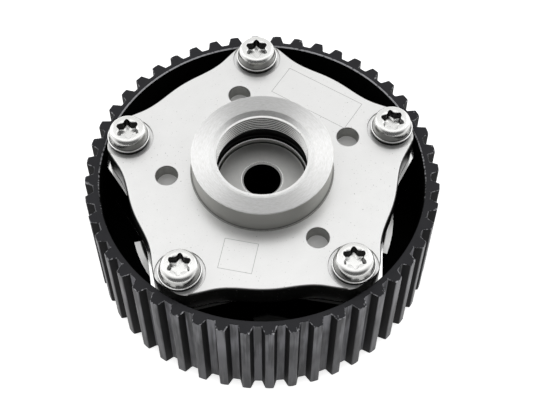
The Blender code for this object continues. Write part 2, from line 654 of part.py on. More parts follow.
def make_rotor(pivot):
    """The rotor: hub, five vanes, front and rear noses, camshaft socket and bolt hole."""
    steel = metal("ground_steel", (0.55, 0.55, 0.54), 0.38)
    outline = rotor_outline()
    body = stacked([(outline, STATOR_BOTTOM), (outline, STATOR_TOP)])
    rotor = make_object("rotor", body, steel, pivot)
    noses = turned(
        [
            (0.0, STATOR_TOP - BOOLEAN_REACH),
            (FRONT_NOSE_RADIUS, STATOR_TOP - BOOLEAN_REACH),
            (FRONT_NOSE_RADIUS, BOLT_SEAT - BORE_GAP),
            (FRONT_NOSE_RADIUS - BORE_GAP, BOLT_SEAT),
            (0.0, BOLT_SEAT),
        ],
        ROUND_SEGMENTS,
    )
    noses = turned(
        [
            (0.0, REAR_NOSE_END),
            (REAR_NOSE_RADIUS - NOSE_CHAMFER, REAR_NOSE_END),
            (REAR_NOSE_RADIUS, REAR_NOSE_END + NOSE_CHAMFER),
            (REAR_NOSE_RADIUS, STATOR_BOTTOM + BOOLEAN_REACH),
            (0.0, STATOR_BOTTOM + BOOLEAN_REACH),
        ],
        ROUND_SEGMENTS,
        noses,
    )
    boolean(rotor, noses, "UNION")
    bore = [
        (0.0, REAR_NOSE_END - BOOLEAN_REACH),
        (SOCKET_RADIUS + BOLT_CHAMFER, REAR_NOSE_END - BOOLEAN_REACH),
        (SOCKET_RADIUS + BOLT_CHAMFER, REAR_NOSE_END),
        (SOCKET_RADIUS, REAR_NOSE_END + BOLT_CHAMFER),
        (SOCKET_RADIUS, SOCKET_FLOOR),
        (BOLT_HOLE_RADIUS, SOCKET_FLOOR),
        (BOLT_HOLE_RADIUS, BOLT_SEAT - BOLT_CHAMFER),
        (BOLT_HOLE_RADIUS + BOLT_CHAMFER, BOLT_SEAT),
        (BOLT_HOLE_RADIUS + BOLT_CHAMFER, BOLT_SEAT + BOOLEAN_REACH),
        (0.0, BOLT_SEAT + BOOLEAN_REACH),
    ]
    boolean(rotor, turned(bore, ROUND_SEGMENTS), "DIFFERENCE")
    below = STATOR_BOTTOM - BOOLEAN_REACH
    cuts = drilled(PIN_BORE_RADIUS, below, STATOR_TOP + BOOLEAN_REACH, pin_centre(), oil_ports())
    boolean(rotor, cuts, "DIFFERENCE")


def bar(low, high, bm=None):
    """A straight block between two corners."""
    corners = [(low.x, low.y), (high.x, low.y), (high.x, high.y), (low.x, high.y)]
    outline = [Vector((x, y, 0.0)) for x, y in corners]
    return stacked([(outline, low.z), (outline, high.z)], bm)


def leaf_spring(start_radius, end_radius):
    """A bowed flat spring along Z, its middle near one radius and its ends near the other."""
    low = STATOR_BOTTOM + LEAF_END_INSET
    high = STATOR_TOP - LEAF_END_INSET
    steps = 6
    bm = bmesh.new()
    rings = []
    for i in range(steps + 1):
        share = 2 * i / steps - 1
        radius = start_radius + (end_radius - start_radius) * share * share
        z = low + (high - low) * i / steps
        half = LEAF_WIDTH / 2
        offsets = ((-half, 0.0), (half, 0.0), (half, LEAF_THICKNESS), (-half, LEAF_THICKNESS))
        rings.append([bm.verts.new((radius + thick, across, z)) for across, thick in offsets])
    for first, second in zip(rings, rings[1:]):
        for i in range(4):
            j = (i + 1) % 4
            bm.faces.new((first[i], first[j], second[j], second[i]))
    bm.faces.new(rings[0][::-1])
    bm.faces.new(rings[-1])
    return bm


def make_seals(pivot):
    """The vane seals and shoe seals, each backed by its leaf spring."""
    plastic = metal("seal_plastic", (0.09, 0.06, 0.045), 0.55, 0.0)
    spring_steel = metal("leaf_spring_steel", (0.45, 0.44, 0.42), 0.3)
    low = STATOR_BOTTOM + SEAL_END_GAP
    high = STATOR_TOP - SEAL_END_GAP
    half = SEAL_WIDTH / 2
    face = CHAMBER_RADIUS - SEAL_FACE_GAP
    vane_seal = bar(Vector((face - SEAL_HEIGHT, -half, low)), Vector((face, half, high)))
    slot_floor = VANE_RADIUS - SEAL_SLOT_DEPTH
    rest = LEAF_ROOM - LEAF_THICKNESS - SEAT_GAP
    vane_leaf = leaf_spring(slot_floor + SEAT_GAP, slot_floor + rest)
    spread("vane_seal", vane_seal, plastic, vane_angles(), pivot)
    spread("vane_seal_spring", vane_leaf, spring_steel, vane_angles(), pivot)
    face = HUB_RADIUS + SEAL_FACE_GAP
    shoe_seal = bar(Vector((face, -half, low)), Vector((face + SEAL_HEIGHT, half, high)))
    slot_floor = SHOE_TIP_RADIUS + SEAL_SLOT_DEPTH
    shoe_leaf = leaf_spring(slot_floor - SEAT_GAP - LEAF_THICKNESS, slot_floor - rest - LEAF_THICKNESS)
    spread("shoe_seal", shoe_seal, plastic, lobe_angles(), None)
    spread("shoe_seal_spring", shoe_leaf, spring_steel, lobe_angles(), None)


def spread(name, bm, material, angles, parent):
    """Copies of one piece about the Z axis, each its own object on the shared mesh."""
    first = make_object(f"{name}_1", bm, material, parent)
    first.rotation_euler.z = math.radians(angles[0])
    for number, angle in enumerate(angles[1:], start=2):
        place_object(f"{name}_{number}", first.data, parent, turn_deg=angle)


def recess_outline():
    """The six-lobe drive recess: each lobe is a point between two valley corners."""
    step = 360.0 / (3 * RECESS_LOBES)
    radii = (RECESS_POINT_RADIUS, RECESS_VALLEY_RADIUS, RECESS_VALLEY_RADIUS)
    return [polar(radii[i % 3], step * i) for i in range(3 * RECESS_LOBES)]


def head_dome(low, high):
    """The rounded shoulder of a screw head, as a quarter of an ellipse."""
    points = []
    for i in range(DOME_SEGMENTS + 1):
        angle = math.pi / 2 * i / DOME_SEGMENTS
        radius = HEAD_FLAT_RADIUS + (HEAD_RADIUS - HEAD_FLAT_RADIUS) * math.cos(angle)
        points.append((radius, low + (high - low) * math.sin(angle)))
    return points


def make_screws():
    """The five cover screws and the dished washers under their heads."""
    plated = metal("zinc_plated_steel", (0.74, 0.74, 0.73), 0.25)
    spring_plate = metal("washer_steel", (0.68, 0.68, 0.67), 0.28)
    washer_bottom = SPOT_FLOOR + SEAT_GAP
    washer_top = washer_bottom + WASHER_THICKNESS
    head_bottom = washer_top + SEAT_GAP
    head_top = head_bottom + HEAD_HEIGHT
    tip = WEB_RECESS + SCREW_TIP_INSET
    profile = [
        (0.0, tip),
        (SCREW_RADIUS - SCREW_TIP_CHAMFER, tip),
        (SCREW_RADIUS, tip + SCREW_TIP_CHAMFER),
        (SCREW_RADIUS, head_bottom),
        (HEAD_RADIUS, head_bottom),
        *head_dome(head_bottom + HEAD_SIDE_HEIGHT, head_top),
        (0.0, head_top),
    ]
    washer = [
        (SCREW_HOLE_RADIUS, washer_bottom),
        (WASHER_RADIUS - WASHER_FOOT_INSET, washer_bottom),
        (WASHER_RADIUS, washer_top),
        (WASHER_RADIUS - SEAT_GAP, washer_top + WASHER_RIM_HEIGHT),
        (HEAD_RADIUS + SEAT_GAP, washer_top),
        (SCREW_HOLE_RADIUS, washer_top),
    ]
    screw_mesh = None
    washer_mesh = None
    for number, angle in enumerate(lobe_angles(), start=1):
        centre = polar(SCREW_CIRCLE_RADIUS, angle)
        if screw_mesh is None:
            screw = make_object(f"cover_screw_{number}", turned(profile, SMALL_SEGMENTS), plated)
            ring = make_object(f"screw_washer_{number}", turned(washer, SMALL_SEGMENTS), spring_plate)
            screw_mesh = screw.data
            washer_mesh = ring.data
        else:
            screw = place_object(f"cover_screw_{number}", screw_mesh)
            ring = place_object(f"screw_washer_{number}", washer_mesh)
        screw.location = centre
        ring.location = centre
        outline = [centre + p for p in recess_outline()]
        levels = [(outline, head_top - RECESS_DEPTH), (outline, head_top + BOOLEAN_REACH)]
        boolean(screw, stacked(levels), "DIFFERENCE")


def make_lock(pivot):
    """The lock pin released, its spring and spring seat in the wide vane, and the bush it locks in."""
    hard = metal("hardened_steel", (0.5, 0.5, 0.5), 0.22)
    wire = metal("spring_wire", (0.42, 0.42, 0.43), 0.3)
    plug = metal("seat_plastic", (0.12, 0.1, 0.08), 0.5, 0.0)
    bush_steel = metal("bush_steel", (0.4, 0.4, 0.4), 0.3)
    pin_top = STATOR_BOTTOM + PIN_LENGTH
    pocket_floor = pin_top - PIN_POCKET_DEPTH
    pin = [
        (0.0, STATOR_BOTTOM),
        (PIN_RADIUS - PIN_NOSE_TAPER, STATOR_BOTTOM),
        (PIN_RADIUS, STATOR_BOTTOM + BUSH_LENGTH),
        (PIN_RADIUS, pin_top),
        (PIN_POCKET_RADIUS, pin_top),
        (PIN_POCKET_RADIUS, pocket_floor),
        (0.0, pocket_floor),
    ]
    make_object("lock_pin", turned(pin, SMALL_SEGMENTS), hard, pivot).location = pin_centre()
    seat_top = STATOR_TOP - SEAL_END_GAP
    seat_bottom = seat_top - SPRING_SEAT_LENGTH
    seat = [(0.0, seat_bottom), (PIN_RADIUS, seat_bottom), (PIN_RADIUS, seat_top), (0.0, seat_top)]
    make_object("lock_pin_spring_seat", turned(seat, SMALL_SEGMENTS), plug, pivot).location = pin_centre()
    low = pocket_floor + SEAT_GAP + SPRING_WIRE_RADIUS
    high = seat_bottom - SEAT_GAP - SPRING_WIRE_RADIUS
    spring = make_object("lock_pin_spring", coil(low, high), wire, pivot)
    spring.location = pin_centre()
    bottom = REAR_COVER_TOP - SEAT_GAP - BUSH_LENGTH
    bush = [
        (PIN_BORE_RADIUS, bottom),
        (BUSH_RADIUS, bottom),
        (BUSH_RADIUS, bottom + BUSH_LENGTH),
        (PIN_BORE_RADIUS + BORE_GAP, bottom + BUSH_LENGTH),
        (PIN_BORE_RADIUS, bottom + BUSH_LENGTH - BORE_GAP),
    ]
    make_object("lock_pin_bush", turned(bush, SMALL_SEGMENTS), bush_steel).location = pin_centre()


def coil(low, high):
    """A coil spring about Z as one swept wire."""
    per_turn = 8
    sides = 5
    count = SPRING_TURNS * per_turn
    radius = PIN_POCKET_RADIUS - BORE_GAP - SPRING_WIRE_RADIUS
    bm = bmesh.new()
    rings = []
    for i in range(count + 1):
        angle = 360.0 * i / per_turn
        centre = polar(radius, angle, low + (high - low) * i / count)
        out = polar(1.0, angle)
        section = []
        for j in range(sides):
            around = 2 * math.pi * j / sides
            offset = out * math.cos(around) + Vector((0, 0, 1)) * math.sin(around)
            section.append(bm.verts.new(centre + offset * SPRING_WIRE_RADIUS))
        rings.append(section)
    for first, second in zip(rings, rings[1:]):
        for j in range(sides):
            k = (j + 1) % sides
            bm.faces.new((first[j], first[k], second[k], second[j]))
    bm.faces.new(rings[0][::-1])
    bm.faces.new(rings[-1])
    return bm


def seal_ring(centre_z):
    """A rubber ring with a five-sided section, at the seal groove's radius."""
    sides = 5
    profile = []
    for i in range(sides):
        angle = 2 * math.pi * i / sides
        profile.append(
            (
                SEAL_RING_RADIUS + HOUSING_SEAL_SECTION * math.cos(angle),
                centre_z + HOUSING_SEAL_SECTION * math.sin(angle),
            )
        )
    return turned(profile, RING_SEGMENTS)


def make_rubber():
    """The two housing seal rings and the rotor nose seal."""
    rubber = metal("seal_rubber", (0.02, 0.02, 0.02), 0.6, 0.0)
    reach = HOUSING_SEAL_SECTION + SEAT_GAP / 2
    make_object("front_housing_seal", seal_ring(STATOR_TOP - reach), rubber)
    make_object("rear_housing_seal", seal_ring(STATOR_BOTTOM + reach), rubber)
    bottom = REAR_COVER_BOTTOM + SEAT_GAP
    top = bottom + NOSE_SEAL_LENGTH
    inner = REAR_NOSE_RADIUS + BORE_GAP
    profile = [
        (inner, bottom + NOSE_SEAL_LIP / 2),
        (inner + NOSE_SEAL_LIP, bottom),
        (NOSE_SEAL_RADIUS, bottom),
        (NOSE_SEAL_RADIUS, top),
        (inner, top),
    ]
    make_object("rotor_nose_seal", turned(profile, RING_SEGMENTS), rubber)


def make_dowel():
    """The locating dowel from the rear cover through the stator into the front cover."""
    steel = metal("dowel_steel", (0.5, 0.5, 0.5), 0.25)
    bottom = REAR_COVER_TOP - DOWEL_ENGAGEMENT
    top = COVER_BOTTOM + DOWEL_ENGAGEMENT
    profile = [(0.0, bottom), (DOWEL_RADIUS, bottom), (DOWEL_RADIUS, top), (0.0, top)]
    make_object("locating_dowel", turned(profile, DOWEL_SEGMENTS), steel).location = dowel_centre()


def main():
    """Clears the scene and builds every piece."""
    for obj in list(bpy.data.objects):
        bpy.data.objects.remove(obj)
    pivot = bpy.data.objects.new("rotor_pivot", None)
    bpy.context.scene.collection.objects.link(pivot)
    make_pulley()
    make_rear_cover()
    make_stator()
    make_rotor(pivot)
    make_seals(pivot)
    make_lock(pivot)
    make_rubber()
    make_dowel()
    make_front_cover()
    make_screws()


main()
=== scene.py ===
"""Looks of a cam phaser: a black toothed belt pulley with a pale lobed cover, screws and rotor.

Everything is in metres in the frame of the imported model. +Z points to the front cover, and the
origin is the centre of the pulley's rear face.
"""

import json
import logging
import math
import random
from dataclasses import dataclass
from enum import Enum, IntEnum
from functools import cached_property
from typing import Any

import bpy
import numpy as np
from mathutils import Matrix, Vector

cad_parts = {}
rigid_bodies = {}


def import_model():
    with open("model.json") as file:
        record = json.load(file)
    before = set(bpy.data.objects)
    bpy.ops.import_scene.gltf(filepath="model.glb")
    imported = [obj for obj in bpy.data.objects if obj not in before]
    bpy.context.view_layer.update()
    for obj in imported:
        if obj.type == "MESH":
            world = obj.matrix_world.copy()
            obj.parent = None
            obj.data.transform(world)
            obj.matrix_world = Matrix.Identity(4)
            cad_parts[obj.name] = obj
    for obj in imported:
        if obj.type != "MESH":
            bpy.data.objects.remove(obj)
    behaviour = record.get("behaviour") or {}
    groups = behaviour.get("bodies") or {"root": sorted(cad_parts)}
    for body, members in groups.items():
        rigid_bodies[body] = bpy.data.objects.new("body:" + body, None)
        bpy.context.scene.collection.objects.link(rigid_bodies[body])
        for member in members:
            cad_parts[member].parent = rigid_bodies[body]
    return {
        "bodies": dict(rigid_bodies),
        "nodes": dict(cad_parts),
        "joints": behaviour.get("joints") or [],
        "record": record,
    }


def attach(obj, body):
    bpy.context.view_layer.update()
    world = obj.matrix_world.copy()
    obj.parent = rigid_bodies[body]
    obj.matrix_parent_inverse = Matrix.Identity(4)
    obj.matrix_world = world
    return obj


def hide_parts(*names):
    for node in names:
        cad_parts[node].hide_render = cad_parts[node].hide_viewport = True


MM = 0.001
NEAR_AXIS = 1e-6
# The body of the model that all new pieces ride on
HOUSING = "housing"
LOG = logging.getLogger("cam_phaser")

Points = np.ndarray
Profile = list[tuple[float, float]]
Colour = tuple[float, float, float, float]
Mesh = bpy.types.Mesh
Socket = bpy.types.NodeSocket


class Slot(Enum):
    """The record's material slots that the new pieces take their finish from."""

    PULLEY = "pulley_steel"
    COVER = "cover_alloy"
    SCREW = "screw_steel"
    WASHER = "washer_steel"


def linear(code: str) -> Colour:
    """Turns an sRGB hex colour to linear.

    Args:
        code: the colour as #rrggbb.

    Returns:
        Red, green, blue and alpha, the first three linear.
    """
    values = [int(code[start : start + 2], 16) / 255.0 for start in (1, 3, 5)]
    red, green, blue = (v / 12.92 if v <= 0.04045 else ((v + 0.055) / 1.055) ** 2.4 for v in values)
    return (red, green, blue, 1.0)


def add_node(
    tree: bpy.types.NodeTree,
    kind: str,
    inputs: dict[Any, Any] | None = None,
    output: int | str = 0,
    **attributes: Any,
) -> Socket:
    """Adds one shader node with its settings and links.

    Args:
        tree: the node tree it goes into.
        kind: Blender's name of the node type, after ShaderNode.
        inputs: a value, or the socket that feeds it, for each input by name or number.
        output: the output that is wanted, by name or number.
        attributes: the node's own choices, such as operation.

    Returns:
        That output.
    """
    node = tree.nodes.new(f"ShaderNode{kind}")
    for key, value in attributes.items():
        setattr(node, key, value)
    for key, value in (inputs or {}).items():
        if isinstance(value, Socket):
            tree.links.new(value, node.inputs[key])
        else:
            node.inputs[key].default_value = value
    return node.outputs[output]


def polar(radius: float, degrees: float, z: float = 0.0) -> Vector:
    """A point at a radius and an angle about the Z axis."""
    angle = math.radians(degrees)
    return Vector((radius * math.cos(angle), radius * math.sin(angle), z))


def ring(radii: Points | float, angles: Points, z: float) -> Points:
    """A ring of points at a height, from radii and angles in radians about the Z axis."""
    level = np.full(len(angles), z)
    return np.column_stack([radii * np.cos(angles), radii * np.sin(angles), level])


def circles(profile: Profile, count: int) -> list[Points]:
    """The circles of a body turned about Z from an open (radius, z) profile."""
    angles = np.arange(count) * (2 * np.pi / count)
    return [ring(max(radius, NEAR_AXIS), angles, z) for radius, z in profile]


def helix_wave(z: float, pitch: float, turns: Points) -> Points:
    """How far up a thread's flanks a height is, from 0 to 1, at each part of a turn."""
    phase = z / pitch - turns
    return 1 - np.abs(2 * (phase - np.floor(phase)) - 1)


def blend_up(a: Points, b: Points | float, width: float) -> Points:
    """The larger of two lengths, rounded where they are nearly equal."""
    near = np.maximum(width - np.abs(a - b), 0.0) / width
    return np.maximum(a, b) + near * near * width / 4


@dataclass
class Loft:
    """A surface through rings of equally many points, one after another.

    Attributes:
        name: the name of the mesh.
        rings: the rings from one end to the other.
        looped: whether the last ring joins the first, as on a tube bent into a ring.
    """

    name: str
    rings: list[Points]
    looped: bool = False

    def mesh(self) -> Mesh:
        """Joins the rings with quads and closes open ends with a point in the middle.

        Returns:
            A closed mesh.
        """
        count, total = len(self.rings[0]), len(self.rings)
        points = [tuple(p) for ring in self.rings for p in ring]
        faces = []
        for level in range(total if self.looped else total - 1):
            low, high = level * count, (level + 1) % total * count
            for i in range(count):
                j = (i + 1) % count
                faces.append((low + i, low + j, high + j, high + i))
        for level in () if self.looped else (0, total - 1):
            points.append(tuple(self.rings[level].mean(axis=0)))
            for i in range(count):
                j = (i + 1) % count
                pair = (j, i) if level == 0 else (i, j)
                faces.append((len(points) - 1, level * count + pair[0], level * count + pair[1]))
        mesh = bpy.data.meshes.new(self.name)
        mesh.from_pydata(points, [], faces)
        mesh.validate()
        mesh.update()
        return mesh


def turned_body(name: str, profile: Profile, count: int, centre: Vector | None = None) -> Mesh:
    """A closed body turned from an open profile about an upright axis, at first the Z axis."""
    mesh = Loft(name, circles(profile, count)).mesh()
    mesh.transform(Matrix.Translation(centre or Vector()))
    return mesh


def joined_meshes(name: str, meshes: list[Mesh]) -> Mesh:
    """Puts separate closed meshes into one mesh and uses them up.

    Args:
        name: the new mesh's name.
        meshes: the meshes.

    Returns:
        The one mesh.
    """
    points: list[tuple[float, ...]] = []
    faces: list[tuple[int, ...]] = []
    for mesh in meshes:
        start = len(points)
        points += [tuple(v.co) for v in mesh.vertices]
        faces += [tuple(start + i for i in face.vertices) for face in mesh.polygons]
        bpy.data.meshes.remove(mesh)
    whole = bpy.data.meshes.new(name)
    whole.from_pydata(points, [], faces)
    whole.update()
    return whole


def placed(name: str, data: bpy.types.ID) -> bpy.types.Object:
    """Puts a mesh, lamp or camera into the scene as its own object."""
    obj = bpy.data.objects.new(name, data)
    bpy.context.scene.collection.objects.link(obj)
    return obj


def cut_and_joined(name: str, base: Mesh, steps: list[tuple[str, Mesh]]) -> Mesh:
    """Cuts meshes out of a mesh, or joins them on, and keeps only the result.

    Args:
        name: the name of the new mesh.
        base: the mesh that is worked on.
        steps: the Boolean operations with their meshes, in order.

    Returns:
        The finished mesh, without materials.
    """
    work = placed(f"{name}_work", base)
    tools = []
    for operation, mesh in steps:
        modifier = work.modifiers.new(operation.title(), "BOOLEAN")
        modifier.operation = operation
        modifier.solver = "EXACT"
        modifier.object = placed(mesh.name, mesh)
        tools.append(modifier.object)
    graph = bpy.context.evaluated_depsgraph_get()
    made = bpy.data.meshes.new_from_object(work.evaluated_get(graph))
    made.name = name
    made.materials.clear()
    for obj in [work, *tools]:
        spare = obj.data
        bpy.data.objects.remove(obj)
        bpy.data.meshes.remove(spare)
    return made


def dressed(
    obj: bpy.types.Object, node: str, sharp_deg: float = 32.0
) -> bpy.types.Object:
    """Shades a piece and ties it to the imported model.

    Args:
        obj: the piece.
        node: the CAD node that it stands for.
        sharp_deg: the angle from which an edge is sharp.

    Returns:
        The piece.
    """
    obj.data.shade_smooth()
    obj.data.set_sharp_from_angle(angle=math.radians(sharp_deg))
    weighted = obj.modifiers.new("Flat faces", "WEIGHTED_NORMAL")
    weighted.keep_sharp = True
    weighted.weight = 80
    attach(obj, HOUSING)
    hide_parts(node)
    return obj


class Surface:
    """A Principled material in the making.

    Attributes:
        material: the material.
        tree: its node tree.
        shader: its Principled node.
        place: the position on the piece in metres.
    """

    def __init__(self, name: str) -> None:
        """Starts a material."""
        self.material = bpy.data.materials.new(name)
        self.material.use_nodes = True
        self.tree = self.material.node_tree
        self.shader = self.tree.nodes["Principled BSDF"]
        self.place = self.add("TexCoord", output="Object")

    def add(
        self,
        kind: str,
        inputs: dict[Any, Any] | None = None,
        output: int | str = 0,
        **attributes: Any,
    ) -> Socket:
        """Adds one node to the material, as add_node does."""
        return add_node(self.tree, kind, inputs, output, **attributes)

    @cached_property
    def flat(self) -> Socket:
        """The position across the Z axis."""
        return self.add("VectorMath", {0: self.place, 1: (1.0, 1.0, 0.0)}, operation="MULTIPLY")

    @cached_property
    def radius(self) -> Socket:
        """The distance from the Z axis."""
        return self.add("VectorMath", {0: self.flat}, "Value", operation="LENGTH")

    @cached_property
    def height(self) -> Socket:
        """The position along the Z axis."""
        return self.add("SeparateXYZ", {0: self.place}, "Z")

    def set(self, name: str, value: float | Colour) -> None:
        """Sets one of the shader's inputs."""
        self.shader.inputs[name].default_value = value

    def feed(self, name: str, source: Socket) -> None:
        """Feeds one of the shader's inputs."""
        self.tree.links.new(source, self.shader.inputs[name])

    def lay_over(self, name: str, value: float | Colour, mask: Socket, data_type: str) -> None:
        """Lays a value over what already feeds one of the shader's inputs, where a mask is."""
        below = self.shader.inputs[name].links[0].from_socket
        inputs = {"Factor": mask, "A": below, "B": value}
        self.feed(name, self.add("Mix", inputs, "Result", data_type=data_type))

    def paint(self, code: str, mask: Socket, roughness: float | None = None) -> None:
        """Paints an sRGB colour, and a roughness if one is given, where a mask is."""
        self.lay_over("Base Color", linear(code), mask, "RGBA")
        if roughness is not None:
            self.lay_over("Roughness", roughness, mask, "FLOAT")

    def dull(self, metallic: float, mask: Socket) -> None:
        """Takes the metal's mirror away where a mask is.

        It is used where an edge gets a painted highlight, which then shows as a plain bright line.

        Args:
            metallic: the metallic value elsewhere.
            mask: where the edge is.
        """
        self.feed("Metallic", self.add("Math", {0: metallic, 1: mask}, operation="SUBTRACT"))

    def all_of(self, *masks: Socket) -> Socket:
        """The mask of where all masks are."""
        product = masks[0]
        for mask in masks[1:]:
            product = self.add("Math", {0: product, 1: mask}, operation="MULTIPLY")
        return product


@dataclass(frozen=True)
class Finish:
    """What all finishes share: a Principled surface and a grain in real millimetres.

    Attributes:
        name: the material's name, which says what it is and how it was made.
        colour: the main sRGB colour.
        second: the sRGB colour that the grain varies it to.
        roughness: the mean roughness.
        metallic: 1 for bare metal, 0 for everything else.
        grain_mm: the size of the grain.
        grain_depth_mm: how deep the grain is.
        cloud_mm: the size of the slow variation of colour.
        roughness_swing: how far the grain moves the roughness.
    """

    name: str
    colour: str
    second: str
    roughness: float
    metallic: float = 1.0
    grain_mm: float = 0.5
    grain_depth_mm: float = 0.004
    cloud_mm: float = 6.0
    roughness_swing: float = 0.06

    def build(self) -> bpy.types.Material:
        """Makes the node material, ready to be put on a piece."""
        skin = Surface(self.name)
        skin.set("Metallic", self.metallic)
        self.dress(skin)
        return skin.material

    def dress(self, skin: Surface) -> None:
        """Gives the surface its colour and grain.

        Args:
            skin: the surface.
        """
        look = {"Vector": skin.place, "Roughness": 0.6}
        cloud, grain = (
            skin.add("TexNoise", {**look, "Scale": 1 / (size * MM), "Detail": detail})
            for size, detail in ((self.cloud_mm, 4.0), (self.grain_mm, 3.0))
        )
        self.tone(skin, cloud)
        self.relief(skin, grain, self.grain_depth_mm)

    def tone(self, skin: Surface, pattern: Socket) -> None:
        """Varies the surface between the two colours by a pattern."""
        inputs = {"Factor": pattern, "A": linear(self.colour), "B": linear(self.second)}
        skin.feed("Base Color", skin.add("Mix", inputs, "Result", data_type="RGBA"))

    def relief(self, skin: Surface, pattern: Socket, depth_mm: float) -> None:
        """Varies the roughness by a pattern and gives it a depth.

        Args:
            skin: the surface.
            pattern: the pattern from 0 to 1.
            depth_mm: its depth.
        """
        low, high = self.roughness - self.roughness_swing, self.roughness + self.roughness_swing
        skin.feed(
            "Roughness", skin.add("MapRange", {"Value": pattern, "To Min": low, "To Max": high})
        )
        depth = {"Strength": 1.0, "Distance": depth_mm * MM}
        skin.feed("Normal", skin.add("Bump", {"Height": pattern, **depth}))


@dataclass(frozen=True)
class TurnedAlloy(Finish):
    """Aluminium alloy faced on a lathe: the tool's rings stretch every reflection across them.

    Attributes:
        ring_mm: the width of one streak, coarser than the real feed of 0.1 mm so that it shows.
        ring_depth_mm: how deep the rings are.
        stretch: how strongly the rings draw the highlight out.
        streaks: how many streaks follow each other round about a sixth of a turn.
    """

    ring_mm: float = 0.35
    ring_depth_mm: float = 0.003
    stretch: float = 0.93
    streaks: float = 11.0

    def dress(self, skin: Surface) -> None:
        """Adds the turned rings.

        Args:
            skin: the surface.
        """
        out = skin.add("VectorMath", {0: skin.flat}, operation="NORMALIZE")
        along = skin.add("Math", {0: skin.radius, 1: skin.height}, operation="ADD")
        rings = skin.add("Math", {0: along, 1: 1 / (self.ring_mm * MM)}, operation="MULTIPLY")
        lift = skin.add("CombineXYZ", {"Z": rings})
        spread = (self.streaks, self.streaks, 0.0)
        sweep = skin.add("VectorMath", {0: out, 1: spread, 2: lift}, operation="MULTIPLY_ADD")
        streak = skin.add(
            "TexNoise", {"Vector": sweep, "Scale": 1.0, "Detail": 3.0, "Roughness": 0.7}
        )
        self.tone(skin, skin.add("MapRange", {"Value": streak, "From Min": 0.3, "From Max": 0.7}))
        self.relief(skin, streak, self.ring_depth_mm)
        around = skin.add("VectorMath", {0: (0.0, 0.0, 1.0), 1: out}, operation="CROSS_PRODUCT")
        faced = skin.add("NewGeometry", output="True Normal")
        tangent = skin.add("VectorMath", {0: around, 1: faced}, operation="CROSS_PRODUCT")
        skin.set("Anisotropic", self.stretch)
        skin.feed("Tangent", tangent)


@dataclass(frozen=True)
class TappedAlloy(TurnedAlloy):
    """Aluminium alloy with a tapped thread: painted highlights on the crests, and painted shade in
    the roots.

    Attributes:
        root: the sRGB colour of the painted shade in the roots.
        crest: the sRGB colour of the painted highlight on the crests.
        crest_radius: the radius of the crests.
        ridge: how far the crests stand in from the roots.
    """

    root: str = "#1c1c1b"
    crest: str = "#fafaf8"
    crest_radius: float = 15.4 * MM
    ridge: float = 0.6 * MM

    def dress(self, skin: Surface) -> None:
        """Adds the painted shade in the roots and the painted highlights on the crests.

        Args:
            skin: the surface.
        """
        super().dress(skin)
        # Painted shade in the roots, then a painted highlight on the crests
        for code, start, end in ((self.root, 0.25, 0.75), (self.crest, 0.2, 0.08)):
            low, high = (self.crest_radius + part * self.ridge for part in (start, end))
            span = {"From Min": low, "From Max": high}
            mask = skin.add("MapRange", {"Value": skin.radius, **span})
            skin.paint(code, mask)
        skin.dull(self.metallic, mask)


